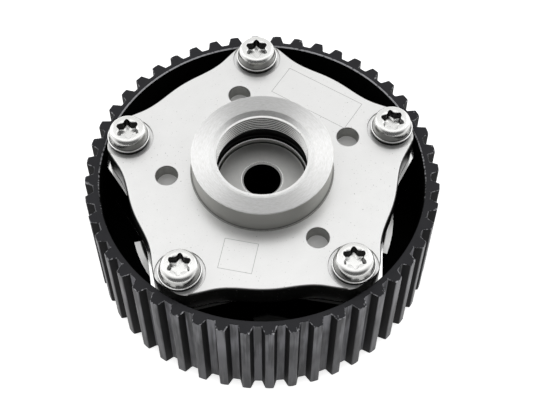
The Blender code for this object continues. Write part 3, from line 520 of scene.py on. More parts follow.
@dataclass(frozen=True)
class BlackOxide(Finish):
    """Sintered steel with a black oxide skin: near matte, with bare steel at rubbed corners, and
    painted shade on the tooth flanks, inside the cup and towards the bottom of the teeth.

    Attributes:
        bare: the sRGB colour of the steel under the skin.
        chip_mm: the size of the bare specks.
        rubbed: the sRGB colour of the groove floors where the belt rubs.
        tip: the sRGB colour of the rubbed tooth tips.
        flank: the sRGB colour of the painted shade on the tooth flanks.
        inside: the sRGB colour of the painted shade inside the cup.
        face_z: the height above which the front face starts.
        rubbed_mm: the size of the rubbed patches, longest along the teeth.
        streak_mm: the size of the streaks in them.
        specular: the shader's specular level, low because the porous skin mirrors little.
        floor_mm: the radii between which a groove's floor ends and its flank starts.
        tip_mm: the radii between which a flank ends and the tip starts.
        cup_mm: the radius that the cup's dark inside reaches out to.
        inside_roughness: the roughness inside the cup.
        flank_roughness: the roughness of the flanks.
    """

    bare: str = "#c4c4c8"
    chip_mm: float = 0.9
    rubbed: str = "#8e8e94"
    tip: str = "#808084"
    flank: str = "#08080a"
    inside: str = "#040404"
    face_z: float = 43.2 * MM
    rubbed_mm: tuple[float, float, float] = (4.0, 4.0, 22.0)
    streak_mm: tuple[float, float, float] = (0.7, 0.7, 25.0)
    specular: float = 0.1
    floor_mm: tuple[float, float, float] = (57.7, 57.9, 57.95)
    tip_mm: tuple[float, float, float] = (60.1, 60.15, 60.3)
    cup_mm: float = 56.2
    inside_roughness: float = 0.75
    flank_roughness: float = 0.62

    def dress(self, skin: Surface) -> None:
        """Adds the oxide's pores, the belt's rubbing and the wear that the mesh marks, and painted
        shade on the flanks, inside the cup and towards the bottom.

        Args:
            skin: the surface.
        """
        super().dress(skin)
        skin.set("Specular IOR Level", self.specular)
        look = {"Detail": 2.0, "Roughness": 0.5}
        noises = []
        for sizes in (self.rubbed_mm, self.streak_mm):
            scale = tuple(1 / (size * MM) for size in sizes)
            drawn = skin.add("VectorMath", {0: skin.place, 1: scale}, operation="MULTIPLY")
            noises.append(skin.add("TexNoise", {"Vector": drawn, "Scale": 1.0, **look}))
        patches = skin.add("Math", {0: noises[1], 1: 0.35, 2: noises[0]}, operation="MULTIPLY_ADD")
        floor, tip = ([mm * MM for mm in limits] for limits in (self.floor_mm, self.tip_mm))
        names = ("Value", "From Min", "From Max", "To Min")
        # The height mask here fades the rubbed patches towards the bottom, as painted shade
        patchy, lighter_upward, on_floor, on_tip, below_tip, above_floor = (
            skin.add("MapRange", dict(zip(names, values)))
            for values in (
                (patches, 0.58, 0.78, 0.05),
                (skin.height, 22 * MM, 32 * MM, 0.4),
                (skin.radius, floor[2], floor[0], 0.0),
                (skin.radius, tip[1], tip[2], 0.0),
                (skin.radius, tip[2], tip[0], 0.0),
                (skin.radius, floor[0], floor[1], 0.0),
            )
        )
        side = skin.add("Math", {0: skin.height, 1: self.face_z}, operation="LESS_THAN")
        within = skin.add("Math", {0: skin.radius, 1: self.cup_mm * MM}, operation="LESS_THAN")
        # Where the belt rubs: the groove floors most, the tooth tips less, the flanks not at all.
        # The patches fade towards the bottom as painted shade
        skin.paint(self.rubbed, skin.all_of(on_floor, patchy, lighter_upward, side))
        skin.paint(self.tip, skin.all_of(on_tip, patchy, lighter_upward, side))
        # Painted shade: the inside of the cup near black
        skin.paint(self.inside, skin.all_of(within, side), self.inside_roughness)
        # Painted shade: the flanks darker than the tips and the floors
        flanks = skin.all_of(below_tip, above_floor, side)
        skin.paint(self.flank, flanks, self.flank_roughness)
        marked = skin.add("Attribute", output="Fac", attribute_name="wear")
        size = {"Vector": skin.place, "Scale": 1 / (self.chip_mm * MM)}
        worn = skin.all_of(marked, skin.add("TexNoise", {**size, **look}))
        bare = skin.add("MapRange", {"Value": worn, "From Min": 0.3, "From Max": 0.5})
        skin.paint(self.bare, bare)


@dataclass(frozen=True)
class GroundSteel(Finish):
    """Sintered steel ground on its faces: satin outside, painted near black as shade in its bolt
    hole, with painted highlights on its edges.

    Attributes:
        bore: the sRGB colour of the painted shade inside the bolt hole and the camshaft socket.
        bore_radius: how far from the axis the painted shade reaches.
        bore_top: the height that it reaches up to.
        edge: the sRGB colour of the painted highlights on the edges of the bolt hole and of the
            nose, and on the ring round the hole.
        edge_radius: the radius that the bolt hole's edge reaches out to.
        nose_radius: the radius that the nose's edge starts at.
        ring_radius: the radius of the ring round the hole, smoother and painted lighter as a
            highlight.
        ring_roughness: the roughness of that ring.
        dull_roughness: the roughness of the edges and the bore.
    """

    bore: str = "#060606"
    bore_radius: float = 12.55 * MM
    bore_top: float = 39.45 * MM
    edge: str = "#dcdcda"
    edge_radius: float = 6.95 * MM
    nose_radius: float = 14.75 * MM
    ring_radius: float = 7.22 * MM
    ring_roughness: float = 0.25
    dull_roughness: float = 0.8

    def dress(self, skin: Surface) -> None:
        """Adds the ground grain, the painted highlights on the edges and the painted shade in the
        bore.

        Args:
            skin: the surface.
        """
        super().dress(skin)
        dark, hole_edge, polished = (
            skin.add("Math", {0: skin.radius, 1: limit}, operation="LESS_THAN")
            for limit in (self.bore_radius, self.edge_radius, self.ring_radius)
        )
        nose = skin.add("Math", {0: skin.radius, 1: self.nose_radius}, operation="GREATER_THAN")
        below, above = (
            skin.add("Math", {0: skin.height, 1: self.bore_top}, operation=side)
            for side in ("LESS_THAN", "GREATER_THAN")
        )
        rim = skin.all_of(skin.add("Math", {0: hole_edge, 1: nose}, operation="MAXIMUM"), above)
        # Painted highlights: a lighter ring round the bolt hole and bright unmirrored edges on the
        # hole and the nose; painted shade: the bore near black
        skin.paint(self.edge, polished, self.ring_roughness)
        skin.paint(self.edge, rim, self.dull_roughness)
        skin.paint(self.bore, skin.all_of(dark, below), self.dull_roughness)
        skin.dull(self.metallic, rim)


@dataclass(frozen=True)
class ShadedWallMetal(Finish):
    """Metal that is bright where it faces up or down, with painted shade on its steep sides.

    The steep sides are painted darker as shade, by the direction that they face.

    Attributes:
        wall: the sRGB colour of the painted shade on the walls.
        steep: the normal's height at which a surface is all wall.
        level: the normal's height from which a surface is all face.
    """

    wall: str = "#3c3c3b"
    steep: float = 0.3
    level: float = 0.6

    def dress(self, skin: Surface) -> None:
        """Adds the grain and the painted shade on the walls.

        Args:
            skin: the surface.
        """
        super().dress(skin)
        # Painted shade: the steeper a surface stands, the darker it is painted
        facing = skin.add("NewGeometry", output="True Normal")
        upward = skin.add("SeparateXYZ", {0: facing}, "Z")
        flat = skin.add("Math", {0: upward}, operation="ABSOLUTE")
        span = {"From Min": self.level, "From Max": self.steep}
        skin.paint(self.wall, skin.add("MapRange", {"Value": flat, **span}))


@dataclass(frozen=True)
class RimmedMetal(ShadedWallMetal):
    """Metal with a bright turned rim, and the painted shadow of the overhanging cover on its deep
    inner faces.

    Attributes:
        overhang_shadow: the sRGB colour of the painted shadow on the inner faces.
        rim_start: the radius from which the rim is bright.
    """

    overhang_shadow: str = "#1a1a19"
    rim_start: float = 44.9 * MM

    def dress(self, skin: Surface) -> None:
        """Adds the painted shadow inside the rim."""
        super().dress(skin)
        # Painted shadow: the faces inside the rim are painted dark
        soft = 0.2 * MM
        span = {"From Min": self.rim_start + soft, "From Max": self.rim_start - soft}
        skin.paint(self.overhang_shadow, skin.add("MapRange", {"Value": skin.radius, **span}))


@dataclass(frozen=True)
class MarkedFrame:
    """A blank rectangle scribed on the cover.

    Attributes:
        centre: its centre in metres.
        size: its two sides in metres.
        turn_deg: how far it is turned about Z.
    """

    centre: tuple[float, float]
    size: tuple[float, float]
    turn_deg: float

    def mask(self, skin: Surface, width: float) -> Socket:
        """The mask of the frame's line.

        Args:
            skin: the surface it is scribed on.
            width: the line's width in metres.

        Returns:
            A socket that is 1 on the line and 0 elsewhere.
        """
        middle, half = (*self.centre, 0.0), (self.size[0] / 2, self.size[1] / 2, 0.0)
        moved = skin.add("VectorMath", {0: skin.place, 1: middle}, operation="SUBTRACT")
        turn = {"Vector": moved, "Angle": -math.radians(self.turn_deg)}
        turned = skin.add("VectorRotate", turn, rotation_type="Z_AXIS")
        folded = skin.add("VectorMath", {0: turned}, operation="ABSOLUTE")
        beyond = skin.add("VectorMath", {0: folded, 1: half}, operation="SUBTRACT")
        across, along = (skin.add("SeparateXYZ", {0: beyond}, axis) for axis in "XY")
        outside = skin.add("Math", {0: across, 1: along}, operation="MAXIMUM")
        away = skin.add("Math", {0: outside}, operation="ABSOLUTE")
        return skin.add("Math", {0: away, 1: width / 2}, operation="LESS_THAN")


@dataclass(frozen=True)
class TumbledAlloy(ShadedWallMetal):
    """Die-cast aluminium alloy, tumbled: an even satin face, with painted shade on its steep walls.

    The fine dents scatter part of the light, so it is less of a mirror than a bare metal.

    Attributes:
        pit_mm: the distance between the fine casting pits, a few of which stay dark.
        pit: the sRGB colour of the pits.
        frames: the blank frames scribed on the face.
        line_mm: the width of their lines.
        line_colour: the sRGB colour of the lines.
    """

    pit_mm: float = 0.55
    pit: str = "#b4b4b2"
    frames: tuple[MarkedFrame, ...] = ()
    line_mm: float = 0.2
    line_colour: str = "#b4b4b2"

    def dress(self, skin: Surface) -> None:
        """Adds the tumbled grain, the pits and the scribed frames.

        Args:
            skin: the surface.
        """
        super().dress(skin)
        size = {"Vector": skin.place, "Scale": 1 / (self.pit_mm * MM)}
        pits = skin.add("TexNoise", {**size, "Detail": 1.0, "Roughness": 0.5})
        deep = skin.add("MapRange", {"Value": pits, "From Min": 0.71, "From Max": 0.79})
        skin.paint(self.pit, deep)
        for frame in self.frames:
            skin.paint(self.line_colour, frame.mask(skin, self.line_mm * MM))


@dataclass(frozen=True)
class Lobes:
    """The five lobes that the cover, the screws and their washers share.

    Attributes:
        count: how many there are.
        first_deg: the angle of the first.
        screw_circle: the radius of the screws' circle.
        flank_deg: the direction that a flank faces, from its lobe.
        flank_wall: how far a flank stands off the screw's centre.
        end_radius: the radius of a lobe's end.
        waist_radius: the radius between lobes.
        corner: the width of the blend at the lobe's corners.
        hollow: the width of the blend at the flank's foot.
    """

    count: int = 5
    first_deg: float = 90.0
    screw_circle: float = 47.7 * MM
    flank_deg: float = 48.0
    flank_wall: float = 8.8 * MM
    end_radius: float = 54.43 * MM
    waist_radius: float = 46.1 * MM
    corner: float = 2.7 * MM
    hollow: float = 3.2 * MM

    def angles(self) -> list[float]:
        """The angle of each lobe in degrees."""
        return [self.first_deg + 360.0 * k / self.count for k in range(self.count)]

    def centres(self) -> list[Vector]:
        """The place of each screw."""
        return [polar(self.screw_circle, angle) for angle in self.angles()]

    def outline(self, z: float, inset: float, per_lobe: int = 112) -> Points:
        """The lobed outline at a height, moved inward.

        Args:
            z: the height.
            inset: how far it is moved inward.
            per_lobe: how many points one lobe has.

        Returns:
            The ring of points.
        """
        half = 180.0 / self.count
        # The points lie closer together near a lobe
        rising = half * (np.arange(per_lobe // 2 + 1) / (per_lobe // 2)) ** 1.15
        offsets = np.concatenate([rising, 2 * half - rising[-2:0:-1]])
        nearest = np.minimum(offsets, 2 * half - offsets)
        flank = self.screw_circle * math.cos(math.radians(self.flank_deg)) + self.flank_wall
        side = (flank - inset) / np.cos(np.radians(nearest - self.flank_deg))
        outer = -blend_up(-side, -(self.end_radius - inset), self.corner)
        radii = blend_up(outer, self.waist_radius - inset, self.hollow)
        parts = [ring(radii, np.radians(lobe + offsets), z) for lobe in self.angles()]
        return np.concatenate(parts)


@dataclass
class BeltPulley:
    """The toothed ring with its deep cup and rear web, one piece of sintered steel.

    Attributes:
        lobes: the lobes, whose screws it takes.
        teeth: how many teeth there are.
        tip_radius: the radius of the tooth tips.
        root_radius: the radius of the groove floors.
        tip_width: the width of a tooth at its tip.
        base_width: the width of a tooth at its foot.
        tip_round: the radius that the tip corners are rounded to.
        foot_round: the radius that the groove corners are rounded to.
        width: the length of the teeth.
        edge: the small chamfer on the teeth's ends.
        cup_radius: the radius of the cup.
        rim_chamfer: the chamfer of the cup's rim.
        web_top: the height of the cup's floor.
        recess_depth: the depth of the recess behind the web.
        land_radius: the outer radius of that recess.
        hub_radius: the radius of the hub behind the web.
        bore_radius: the radius of the web's bore.
        boss_radius: the radius of the five screw bosses behind the web.
        boss_height: how far they stand up from the recess.
        hole_radius: the radius of the screw holes.
        chip_chance: how many of the tooth corners are chipped.
        chip_mm: the smallest and the largest reach of a chip.
        chip_depth: a chip's depth as a share of its reach.
        finish: the oxide finish, with painted shade on the flanks of the teeth and inside the cup.
    """

    lobes: Lobes
    teeth: int = 48
    tip_radius: float = 60.43 * MM
    root_radius: float = 57.53 * MM
    tip_width: float = 2.8 * MM
    base_width: float = 5.0 * MM
    tip_round: float = 0.45 * MM
    foot_round: float = 0.5 * MM
    width: float = 43.4 * MM
    edge: float = 0.16 * MM
    cup_radius: float = 55.53 * MM
    rim_chamfer: float = 0.4 * MM
    web_top: float = 10.5 * MM
    recess_depth: float = 2.6 * MM
    land_radius: float = 52.53 * MM
    hub_radius: float = 25.5 * MM
    bore_radius: float = 20.5 * MM
    boss_radius: float = 8.0 * MM
    boss_height: float = 1.4 * MM
    hole_radius: float = 4.3 * MM
    chip_chance: float = 0.5
    chip_mm: tuple[float, float] = (0.35, 0.9)
    chip_depth: float = 0.14
    finish: BlackOxide = BlackOxide(
        "black_oxide_sintered_steel", "#2c2c2f", "#39393c", 0.36, 0.0, 0.45, 0.006, 9.0, 0.08
    )

    def half_tooth(self) -> list[Vector]:
        """Half a tooth's outline, from the groove's middle to the tip's.

        Returns:
            The points as (across, radius) pairs.
        """
        foot = Vector((self.base_width / 2, self.root_radius))
        corner = Vector((self.tip_width / 2, self.tip_radius))
        before = Vector((math.pi * self.root_radius / self.teeth, self.root_radius))
        after = Vector((0.0, self.tip_radius))
        points = [before, before.lerp(foot, 0.5)]
        points += self.rounded(before, foot, corner, self.foot_round)
        points += self.rounded(foot, corner, after, self.tip_round)
        return [*points, corner.lerp(after, 0.7)]

    @staticmethod
    def rounded(before: Vector, corner: Vector, after: Vector, radius: float) -> list[Vector]:
        """Rounds one corner of an outline.

        Args:
            before: the point before the corner.
            corner: the corner.
            after: the point after it.
            radius: the radius of the round.

        Returns:
            The points along the round.
        """
        back, ahead = (before - corner).normalized(), (after - corner).normalized()
        reach = radius / math.tan(back.angle(ahead) / 2)
        start, end = corner + back * reach, corner + ahead * reach
        steps = (0.0, 0.25, 0.5, 0.75, 1.0)
        return [start * (1 - t) ** 2 + corner * 2 * t * (1 - t) + end * t**2 for t in steps]

    def tooth_ring(self, z: float, inset: float = 0.0) -> Points:
        """The whole toothed outline at a height, its corners drawn in by inset.

        Args:
            z: the height.
            inset: how far the corners are drawn in.

        Returns:
            The ring of points.
        """
        half = self.half_tooth()
        whole = [(-p.x, p.y) for p in half] + [(p.x, p.y) for p in reversed(half)]
        points = []
        for i in range(self.teeth):
            centre = self.lobes.first_deg + 360.0 * i / self.teeth
            for across, radius in whole:
                shrink = max(abs(across) - inset, 0.0) / max(abs(across), 1e-9)
                drawn = across * shrink if radius > self.root_radius + inset else across
                lower = max(radius - inset, self.root_radius - inset)
                points.append(polar(lower, centre + math.degrees(drawn / radius), z))
        return np.array(points)

    def body(self) -> Mesh:
        """The ring and the web without the screws' bosses and holes.

        Returns:
            The closed mesh.
        """
        base = self.tooth_ring(0.0)
        top, edge, inner, chamfer = self.width, self.edge, self.cup_radius, self.rim_chamfer
        levels_mm = (0.6, 1.4, 3.0, 6.0, 12.0, 20.0, 28.0, 35.0, 39.0, 41.0, 42.0, 42.6, 43.0)
        rings = [self.tooth_ring(0.0, edge), self.tooth_ring(edge)]
        rings += [self.tooth_ring(level * MM) for level in levels_mm]
        rings += [self.tooth_ring(top - edge), self.tooth_ring(top, edge)]
        rings.append(self.tooth_ring(top, 2.4 * edge))
        web, bore, hub = self.web_top, self.bore_radius, self.hub_radius
        deep, land = self.recess_depth, self.land_radius
        profile = [
            (inner + chamfer + 0.08 * MM, top), (inner + chamfer - 0.05 * MM, top - 0.05 * MM),
            (inner, top - chamfer), (inner, top - chamfer - 0.12 * MM),
            (inner, web + 20 * MM), (inner, web + 0.6 * MM),
            (inner - 0.6 * MM, web), (inner - 15 * MM, web),
            (bore + 0.5 * MM, web), (bore, web - 0.5 * MM),
            (bore, 0.4 * MM), (bore + 0.4 * MM, 0.0),
            (hub - 0.3 * MM, 0.0), (hub, 0.3 * MM),
            (hub, deep - 0.5 * MM), (hub + 0.5 * MM, deep),
            (land - 12 * MM, deep), (land - 0.5 * MM, deep),
            (land, deep - 0.5 * MM), (land, 0.3 * MM),
            (land + 0.3 * MM, 0.0),
        ]  # fmt: skip
        turns = np.arctan2(base[:, 1], base[:, 0])
        rings += [ring(radius, turns, z) for radius, z in profile]
        return Loft("pulley_body", rings, looped=True).mesh()

    def make(self) -> bpy.types.Object:
        """Builds and dresses the pulley.

        Returns:
            The finished piece.
        """
        low, boss, hole = self.recess_depth - self.boss_height, self.boss_radius, self.hole_radius
        deep, wide, past = self.recess_depth, hole + 0.4 * MM, 1 * MM
        boss_profile = [(0.0, low), (boss - 0.3 * MM, low), (boss, low + 0.3 * MM)]
        boss_profile += [(boss, deep + past), (0.0, deep + past)]
        hole_profile = [(0.0, -past), (wide, -past), (wide, low), (hole, low + 0.4 * MM)]
        hole_profile += [(hole, self.web_top + past), (0.0, self.web_top + past)]
        centres = self.lobes.centres()
        bosses = [turned_body("boss", boss_profile, 64, centre) for centre in centres]
        holes = [turned_body("hole", hole_profile, 48, centre) for centre in centres]
        steps = [
            ("UNION", joined_meshes("bosses", bosses)),
            ("DIFFERENCE", joined_meshes("holes", holes)),
        ]
        mesh = cut_and_joined("pulley_mesh", self.body(), steps)
        self.wear(mesh)
        mesh.materials.append(self.finish.build())
        return dressed(placed("toothed_pulley", mesh), "pulley")

    def wear(self, mesh: Mesh) -> None:
        """Chips the tooth corners a little and marks where the skin is rubbed through; the mark on
        the cup's rim grows towards the back as a painted highlight.

        Args:
            mesh: the pulley's mesh, which gets a wear attribute.
        """
        flat = np.zeros(len(mesh.vertices) * 3)
        mesh.vertices.foreach_get("co", flat)
        points = flat.reshape(-1, 3)
        radii = np.hypot(points[:, 0], points[:, 1])
        marked = np.zeros(len(points))
        # A line along the teeth's front edges
        inner = self.tooth_ring(self.width, 0.28 * MM)
        angles = np.arctan2(inner[:, 1], inner[:, 0])
        order = np.argsort(angles)
        turns = np.arctan2(points[:, 1], points[:, 0])
        limit = np.interp(turns, angles[order], np.hypot(inner[:, 0], inner[:, 1])[order])
        outline = (radii > self.root_radius - 0.1 * MM) & (points[:, 2] > self.width - 0.3 * MM)
        marked[outline & (radii > limit)] = 0.7
        # The cup's rim: rubbed bare, with a painted highlight that grows towards the back
        reach = self.rim_chamfer + 0.02 * MM
        rim = (radii < self.cup_radius + reach) & (points[:, 2] > self.width - reach)
        marked[rim] = 0.3 + 0.9 * np.clip(points[rim, 1] / self.cup_radius + 0.5, 0.0, 1.0)
        chance = random.Random(7)
        corners = [
            (self.lobes.first_deg + 360.0 * tooth / self.teeth, side, z)
            for tooth in range(self.teeth)
            for side in (-1, 1)
            for z in (self.width, 0.0)
        ]
        for centre, side, z in corners:
            if chance.random() > self.chip_chance:
                continue
            across = side * (self.tip_width / 2 - chance.uniform(0.0, 0.5) * MM)
            turn = math.degrees(across / self.tip_radius)
            spot = np.array(polar(self.tip_radius, centre + turn, z))
            size = chance.uniform(*self.chip_mm) * MM
            depth = np.clip(1 - np.linalg.norm(points - spot, axis=1) / size, 0.0, 1.0)
            near = depth > 0
            inward = -points[near]
            inward[:, 2] = 0.0
            inward /= np.linalg.norm(inward, axis=1)[:, None]
            inward[:, 2] = -1.0 if z > 0 else 1.0
            points[near] += inward * depth[near, None] * self.chip_depth * size
            marked[near] = np.maximum(marked[near], 0.5 + 0.5 * depth[near])
        mesh.vertices.foreach_set("co", points.ravel())
        layer = mesh.attributes.new("wear", "FLOAT", "POINT")
        layer.data.foreach_set("value", marked.astype(np.float32))
        mesh.update()


class CoverPart(IntEnum):
    """The parts of the cover with a finish of their own, in the order of its material slots."""

    FACE = 0
    TURNED = 1
    BORED = 2
    UNDERCUT = 3
    WALL = 4
    EDGE = 5
    THREAD = 6
    CORNER = 7
    DRILLED = 8


COVER_FINISHES: dict[CoverPart, Finish] = {
    # Tumbling leaves an even satin; the steep sides and the rounded edge get a near-black painted
    # shade
    CoverPart.FACE: TumbledAlloy(
        "tumbled_cast_aluminium_alloy", "#ebebea", "#f3f3f2", 0.34, 0.65, 0.7, 0.006, 5.0, 0.05,
        wall="#262625", steep=0.75, level=0.97,
        frames=(
            MarkedFrame((20.4 * MM, 29.3 * MM), (29.8 * MM, 12.2 * MM), -34.8),
            MarkedFrame((-9.1 * MM, -33.2 * MM), (11.2 * MM, 11.2 * MM), -14.0),
        ),
    ),
    # Facing on the lathe draws bright and dark wedges over the ring
    CoverPart.TURNED: TurnedAlloy(
        "lathe_turned_aluminium_alloy", "#e6e6e4", "#ffffff", 0.5,
        roughness_swing=0.08, stretch=0.97,
    ),
    # Boring leaves a finer finish, which shows as a grey mirror
    CoverPart.BORED: TurnedAlloy(
        "bored_aluminium_alloy", "#cfcfcd", "#e4e4e2", 0.2,
        roughness_swing=0.05, ring_depth_mm=0.002, stretch=0.3, streaks=5.0,
    ),
    # The undercut is painted nearly black, as shade
    CoverPart.UNDERCUT: Finish(
        "painted_shade_aluminium_undercut", "#2c2c2b", "#3a3a39", 0.3, 1.0, 0.5, 0.004, 2.0, 0.05
    ),
    # The boss's wall and the spot faces' walls get a darker painted shade
    CoverPart.WALL: ShadedWallMetal(
        "shaded_wall_aluminium_alloy", "#d8d8d7", "#e9e9e8", 0.5, 0.92, 0.45, 0.02, 5.0, 0.05,
        wall="#b4b4b0", steep=0.85, level=0.999,
    ),
    # Painted highlight: a plain bright unmirrored colour on the nose bore's edge for its glint, and
    # on the tool holes' floors for the light that falls on them
    CoverPart.EDGE: Finish(
        "painted_highlight_aluminium", "#fafaf8", "#ffffff", 0.6, 0.0, 0.5, 0.002, 5.0, 0.05
    ),
    # Each crest of the thread gets a painted highlight line, and each root a painted shade
    CoverPart.THREAD: TappedAlloy(
        "tapped_aluminium_alloy", "#cfcfcd", "#e4e4e2", 0.25,
        roughness_swing=0.05, ring_depth_mm=0.002, stretch=0.3, streaks=5.0,
    ),
    # Painted shade in the corner at the boss's foot: dark, dull and mottled
    CoverPart.CORNER: ShadedWallMetal(
        "painted_shade_aluminium_corner", "#6c6c6a", "#b8b8b5", 0.6, 0.7, 0.5, 0.03, 0.7, 0.05,
        wall="#70706e", steep=0.3, level=0.8,
    ),
    # A drill leaves a rough wall; the tool holes' walls are painted darker, as shade
    CoverPart.DRILLED: Finish(
        "drilled_aluminium_alloy", "#9a9a98", "#b8b8b5", 0.4, 1.0, 0.4, 0.008, 1.5, 0.06
    ),
}  # fmt: skip


@dataclass
class FrontCover:
    """The pale lobed cover with its threaded boss.

    Attributes:
        lobes: the outline.
        bottom: the height of its underside.
        top: the height of its face.
        edge: the radius of its rounded edge.
        boss_radius: the radius of the boss.
        boss_top: the height of the boss.
        boss_edge: the radius of the boss's top edge.
        foot: the fillet at the boss's foot.
        thread_radius: the radius of the thread's root.
        thread_ridge: how far the thread stands in from it.
        lip: the height of the full crest under the lead-in.
        thread_pitch: the thread's pitch.
        ledge: the width of the flat where the lead-in meets the first crest.
        thread_floor: the height where the thread ends.
        lead_radius: the mouth of the lead-in.
        lead_depth: its depth.
        relief_radius: the radius of the undercut.
        relief_floor: the height of the undercut's floor.
        nose_bore: the radius of the bore for the rotor's nose.
        bore_edge: the chamfer of that bore.
        hole_radius: the radius of the screw holes.
        spot_radius: the radius of the spot faces.
        spot_floor: the height of the spot faces.
        tool_radius: the radius of the blind tool holes.
        tool_circle: the radius of their circle.
        tool_floor: the height of their floors.
        tool_angles: their angles in degrees.
        dowel_radius: the radius of the dowel's hole.
        dowel_deg: the angle of the dowel's hole.
        dowel_top: the height where that hole ends.
        count: how many points a ring of the boss or the bore has.
    """

    lobes: Lobes
    bottom: float = 37.4 * MM
    top: float = 46.1 * MM
    edge: float = 0.7 * MM
    boss_radius: float = 23.8 * MM
    boss_top: float = 55.9 * MM
    boss_edge: float = 0.35 * MM
    foot: float = 0.6 * MM
    thread_radius: float = 16.0 * MM
    thread_ridge: float = 0.6 * MM
    lip: float = 0.35 * MM
    thread_pitch: float = 1.0 * MM
    ledge: float = 0.75 * MM
    thread_floor: float = 47.6 * MM
    lead_radius: float = 17.6 * MM
    lead_depth: float = 1.25 * MM
    relief_radius: float = 16.9 * MM
    relief_floor: float = 41.9 * MM
    nose_bore: float = 15.4 * MM
    bore_edge: float = 0.25 * MM
    hole_radius: float = 4.3 * MM
    spot_radius: float = 8.3 * MM
    spot_floor: float = 45.65 * MM
    tool_radius: float = 3.8 * MM
    tool_circle: float = 32.4 * MM
    tool_floor: float = 41.1 * MM
    tool_angles: tuple[float, ...] = (22.0, 102.0, 182.0, 302.0)
    dowel_radius: float = 1.8 * MM
    dowel_deg: float = 99.5
    dowel_top: float = 42.2 * MM
    count: int = 240

    def body(self) -> Mesh:
        """The lobed plate with its rounded edge.

        Returns:
            The closed mesh.
        """
        levels = [
            (self.bottom, 0.25 * MM),
            (self.bottom + 0.25 * MM, 0.0),
            (self.top - self.edge * 1.5, 0.0),
        ]
        for angle in np.linspace(0.0, math.pi / 2, 7):
            height = self.top - self.edge * (1 - math.sin(angle))
            levels.append((height, self.edge * (1 - math.cos(angle))))
        return Loft("cover_plate", [self.lobes.outline(*level) for level in levels]).mesh()

    def boss(self) -> Mesh:
        """The boss as a solid, with its foot fillet and top edge.

        Returns:
            The closed mesh.
        """
        reach, low = self.boss_radius + self.foot, self.top - 1 * MM
        profile = [(0.0, low), (reach, low)]
        for angle in np.linspace(0.0, math.pi / 2, 7):
            out, up = reach - self.foot * math.sin(angle), self.foot * (1 - math.cos(angle))
            profile.append((out, self.top + up))
        for angle in np.linspace(0.0, math.pi / 2, 5):
            out = self.boss_radius - self.boss_edge * (1 - math.cos(angle))
            profile.append((out, self.boss_top - self.boss_edge * (1 - math.sin(angle))))
        return turned_body("cover_boss", [*profile, (0.0, self.boss_top)], self.count)

    def bore(self) -> Mesh:
        """The bore as a cutter, with the helical thread in its wall.

        Returns:
            The closed mesh.
        """
        nose, relief, floor = self.nose_bore, self.relief_radius, self.relief_floor
        low = self.bottom
        below = [
            (0.0, low - 1 * MM), (nose, low - 1 * MM), (nose, floor - self.bore_edge),
            (nose + self.bore_edge, floor), (relief - 0.3 * MM, floor),
            (relief, floor + 0.3 * MM), (relief, self.thread_floor - 0.25 * MM),
        ]  # fmt: skip
        rings = circles(below, self.count)
        lead_foot = self.thread_radius - self.thread_ridge + self.ledge
        high = self.boss_top - self.lead_depth
        turns = np.arange(self.count) / self.count
        rows = 84
        for z in self.thread_floor + (high - self.thread_floor) * np.arange(rows + 1) / rows:
            wave = helix_wave(z - self.thread_floor, self.thread_pitch, turns)
            full = np.clip((z - high + self.lip) / (0.1 * MM), 0.0, 1.0)
            ridge = np.maximum(np.clip(wave * 1.6 - 0.15, 0.0, 1.0), full) * self.thread_ridge
            rings.append(ring(self.thread_radius - ridge, 2 * np.pi * turns, z))
        slope = (self.lead_radius - lead_foot) / self.lead_depth
        mouth, top = 0.12 * MM, self.boss_top
        above = [
            (lead_foot, high + 0.02 * MM), (self.lead_radius - mouth, top - mouth / slope),
            (self.lead_radius + mouth, top + 0.01 * MM), (self.lead_radius + mouth, top + 1 * MM),
            (0.0, top + 1 * MM),
        ]  # fmt: skip
        return Loft("cover_bore", rings + circles(above, self.count)).mesh()

    def holes(self) -> Mesh:
        """The screw holes, spot faces, tool holes and the dowel's hole, as cutters.

        Returns:
            All cutters in one mesh.
        """
        low, top, high = self.bottom - 1 * MM, self.top, self.top + 1 * MM
        hole, spot, tool = self.hole_radius, self.spot_radius, self.tool_radius
        pin = self.dowel_radius
        spot_profile = [
            (0.0, low), (hole, low), (hole, self.spot_floor), (spot, self.spot_floor),
            (spot, top - 0.08 * MM), (spot + 0.1 * MM, top + 0.02 * MM),
            (spot + 0.1 * MM, high), (0.0, high),
        ]  # fmt: skip
        floor = self.tool_floor
        tool_profile = [
            (0.0, floor), (tool - 0.5 * MM, floor), (tool - 0.15 * MM, floor + 0.15 * MM),
            (tool, floor + 0.5 * MM), (tool, top - 0.3 * MM), (tool + 0.08 * MM, top - 0.1 * MM),
            (tool + 0.3 * MM, top + 0.01 * MM), (tool + 0.3 * MM, high), (0.0, high),
        ]  # fmt: skip
        dowel_profile = [(0.0, low), (pin, low), (pin, self.dowel_top), (0.0, self.dowel_top)]
        dowel_centre = polar(self.lobes.screw_circle, self.dowel_deg)
        meshes = [turned_body("spot", spot_profile, 112, place) for place in self.lobes.centres()]
        meshes += [turned_body("tool", tool_profile, 80, place) for place in self.tool_centres()]
        meshes.append(turned_body("dowel", dowel_profile, 32, dowel_centre))
        return joined_meshes("cover_holes", meshes)

    def tool_centres(self) -> list[Vector]:
        """The place of each tool hole."""
        return [polar(self.tool_circle, angle) for angle in self.tool_angles]

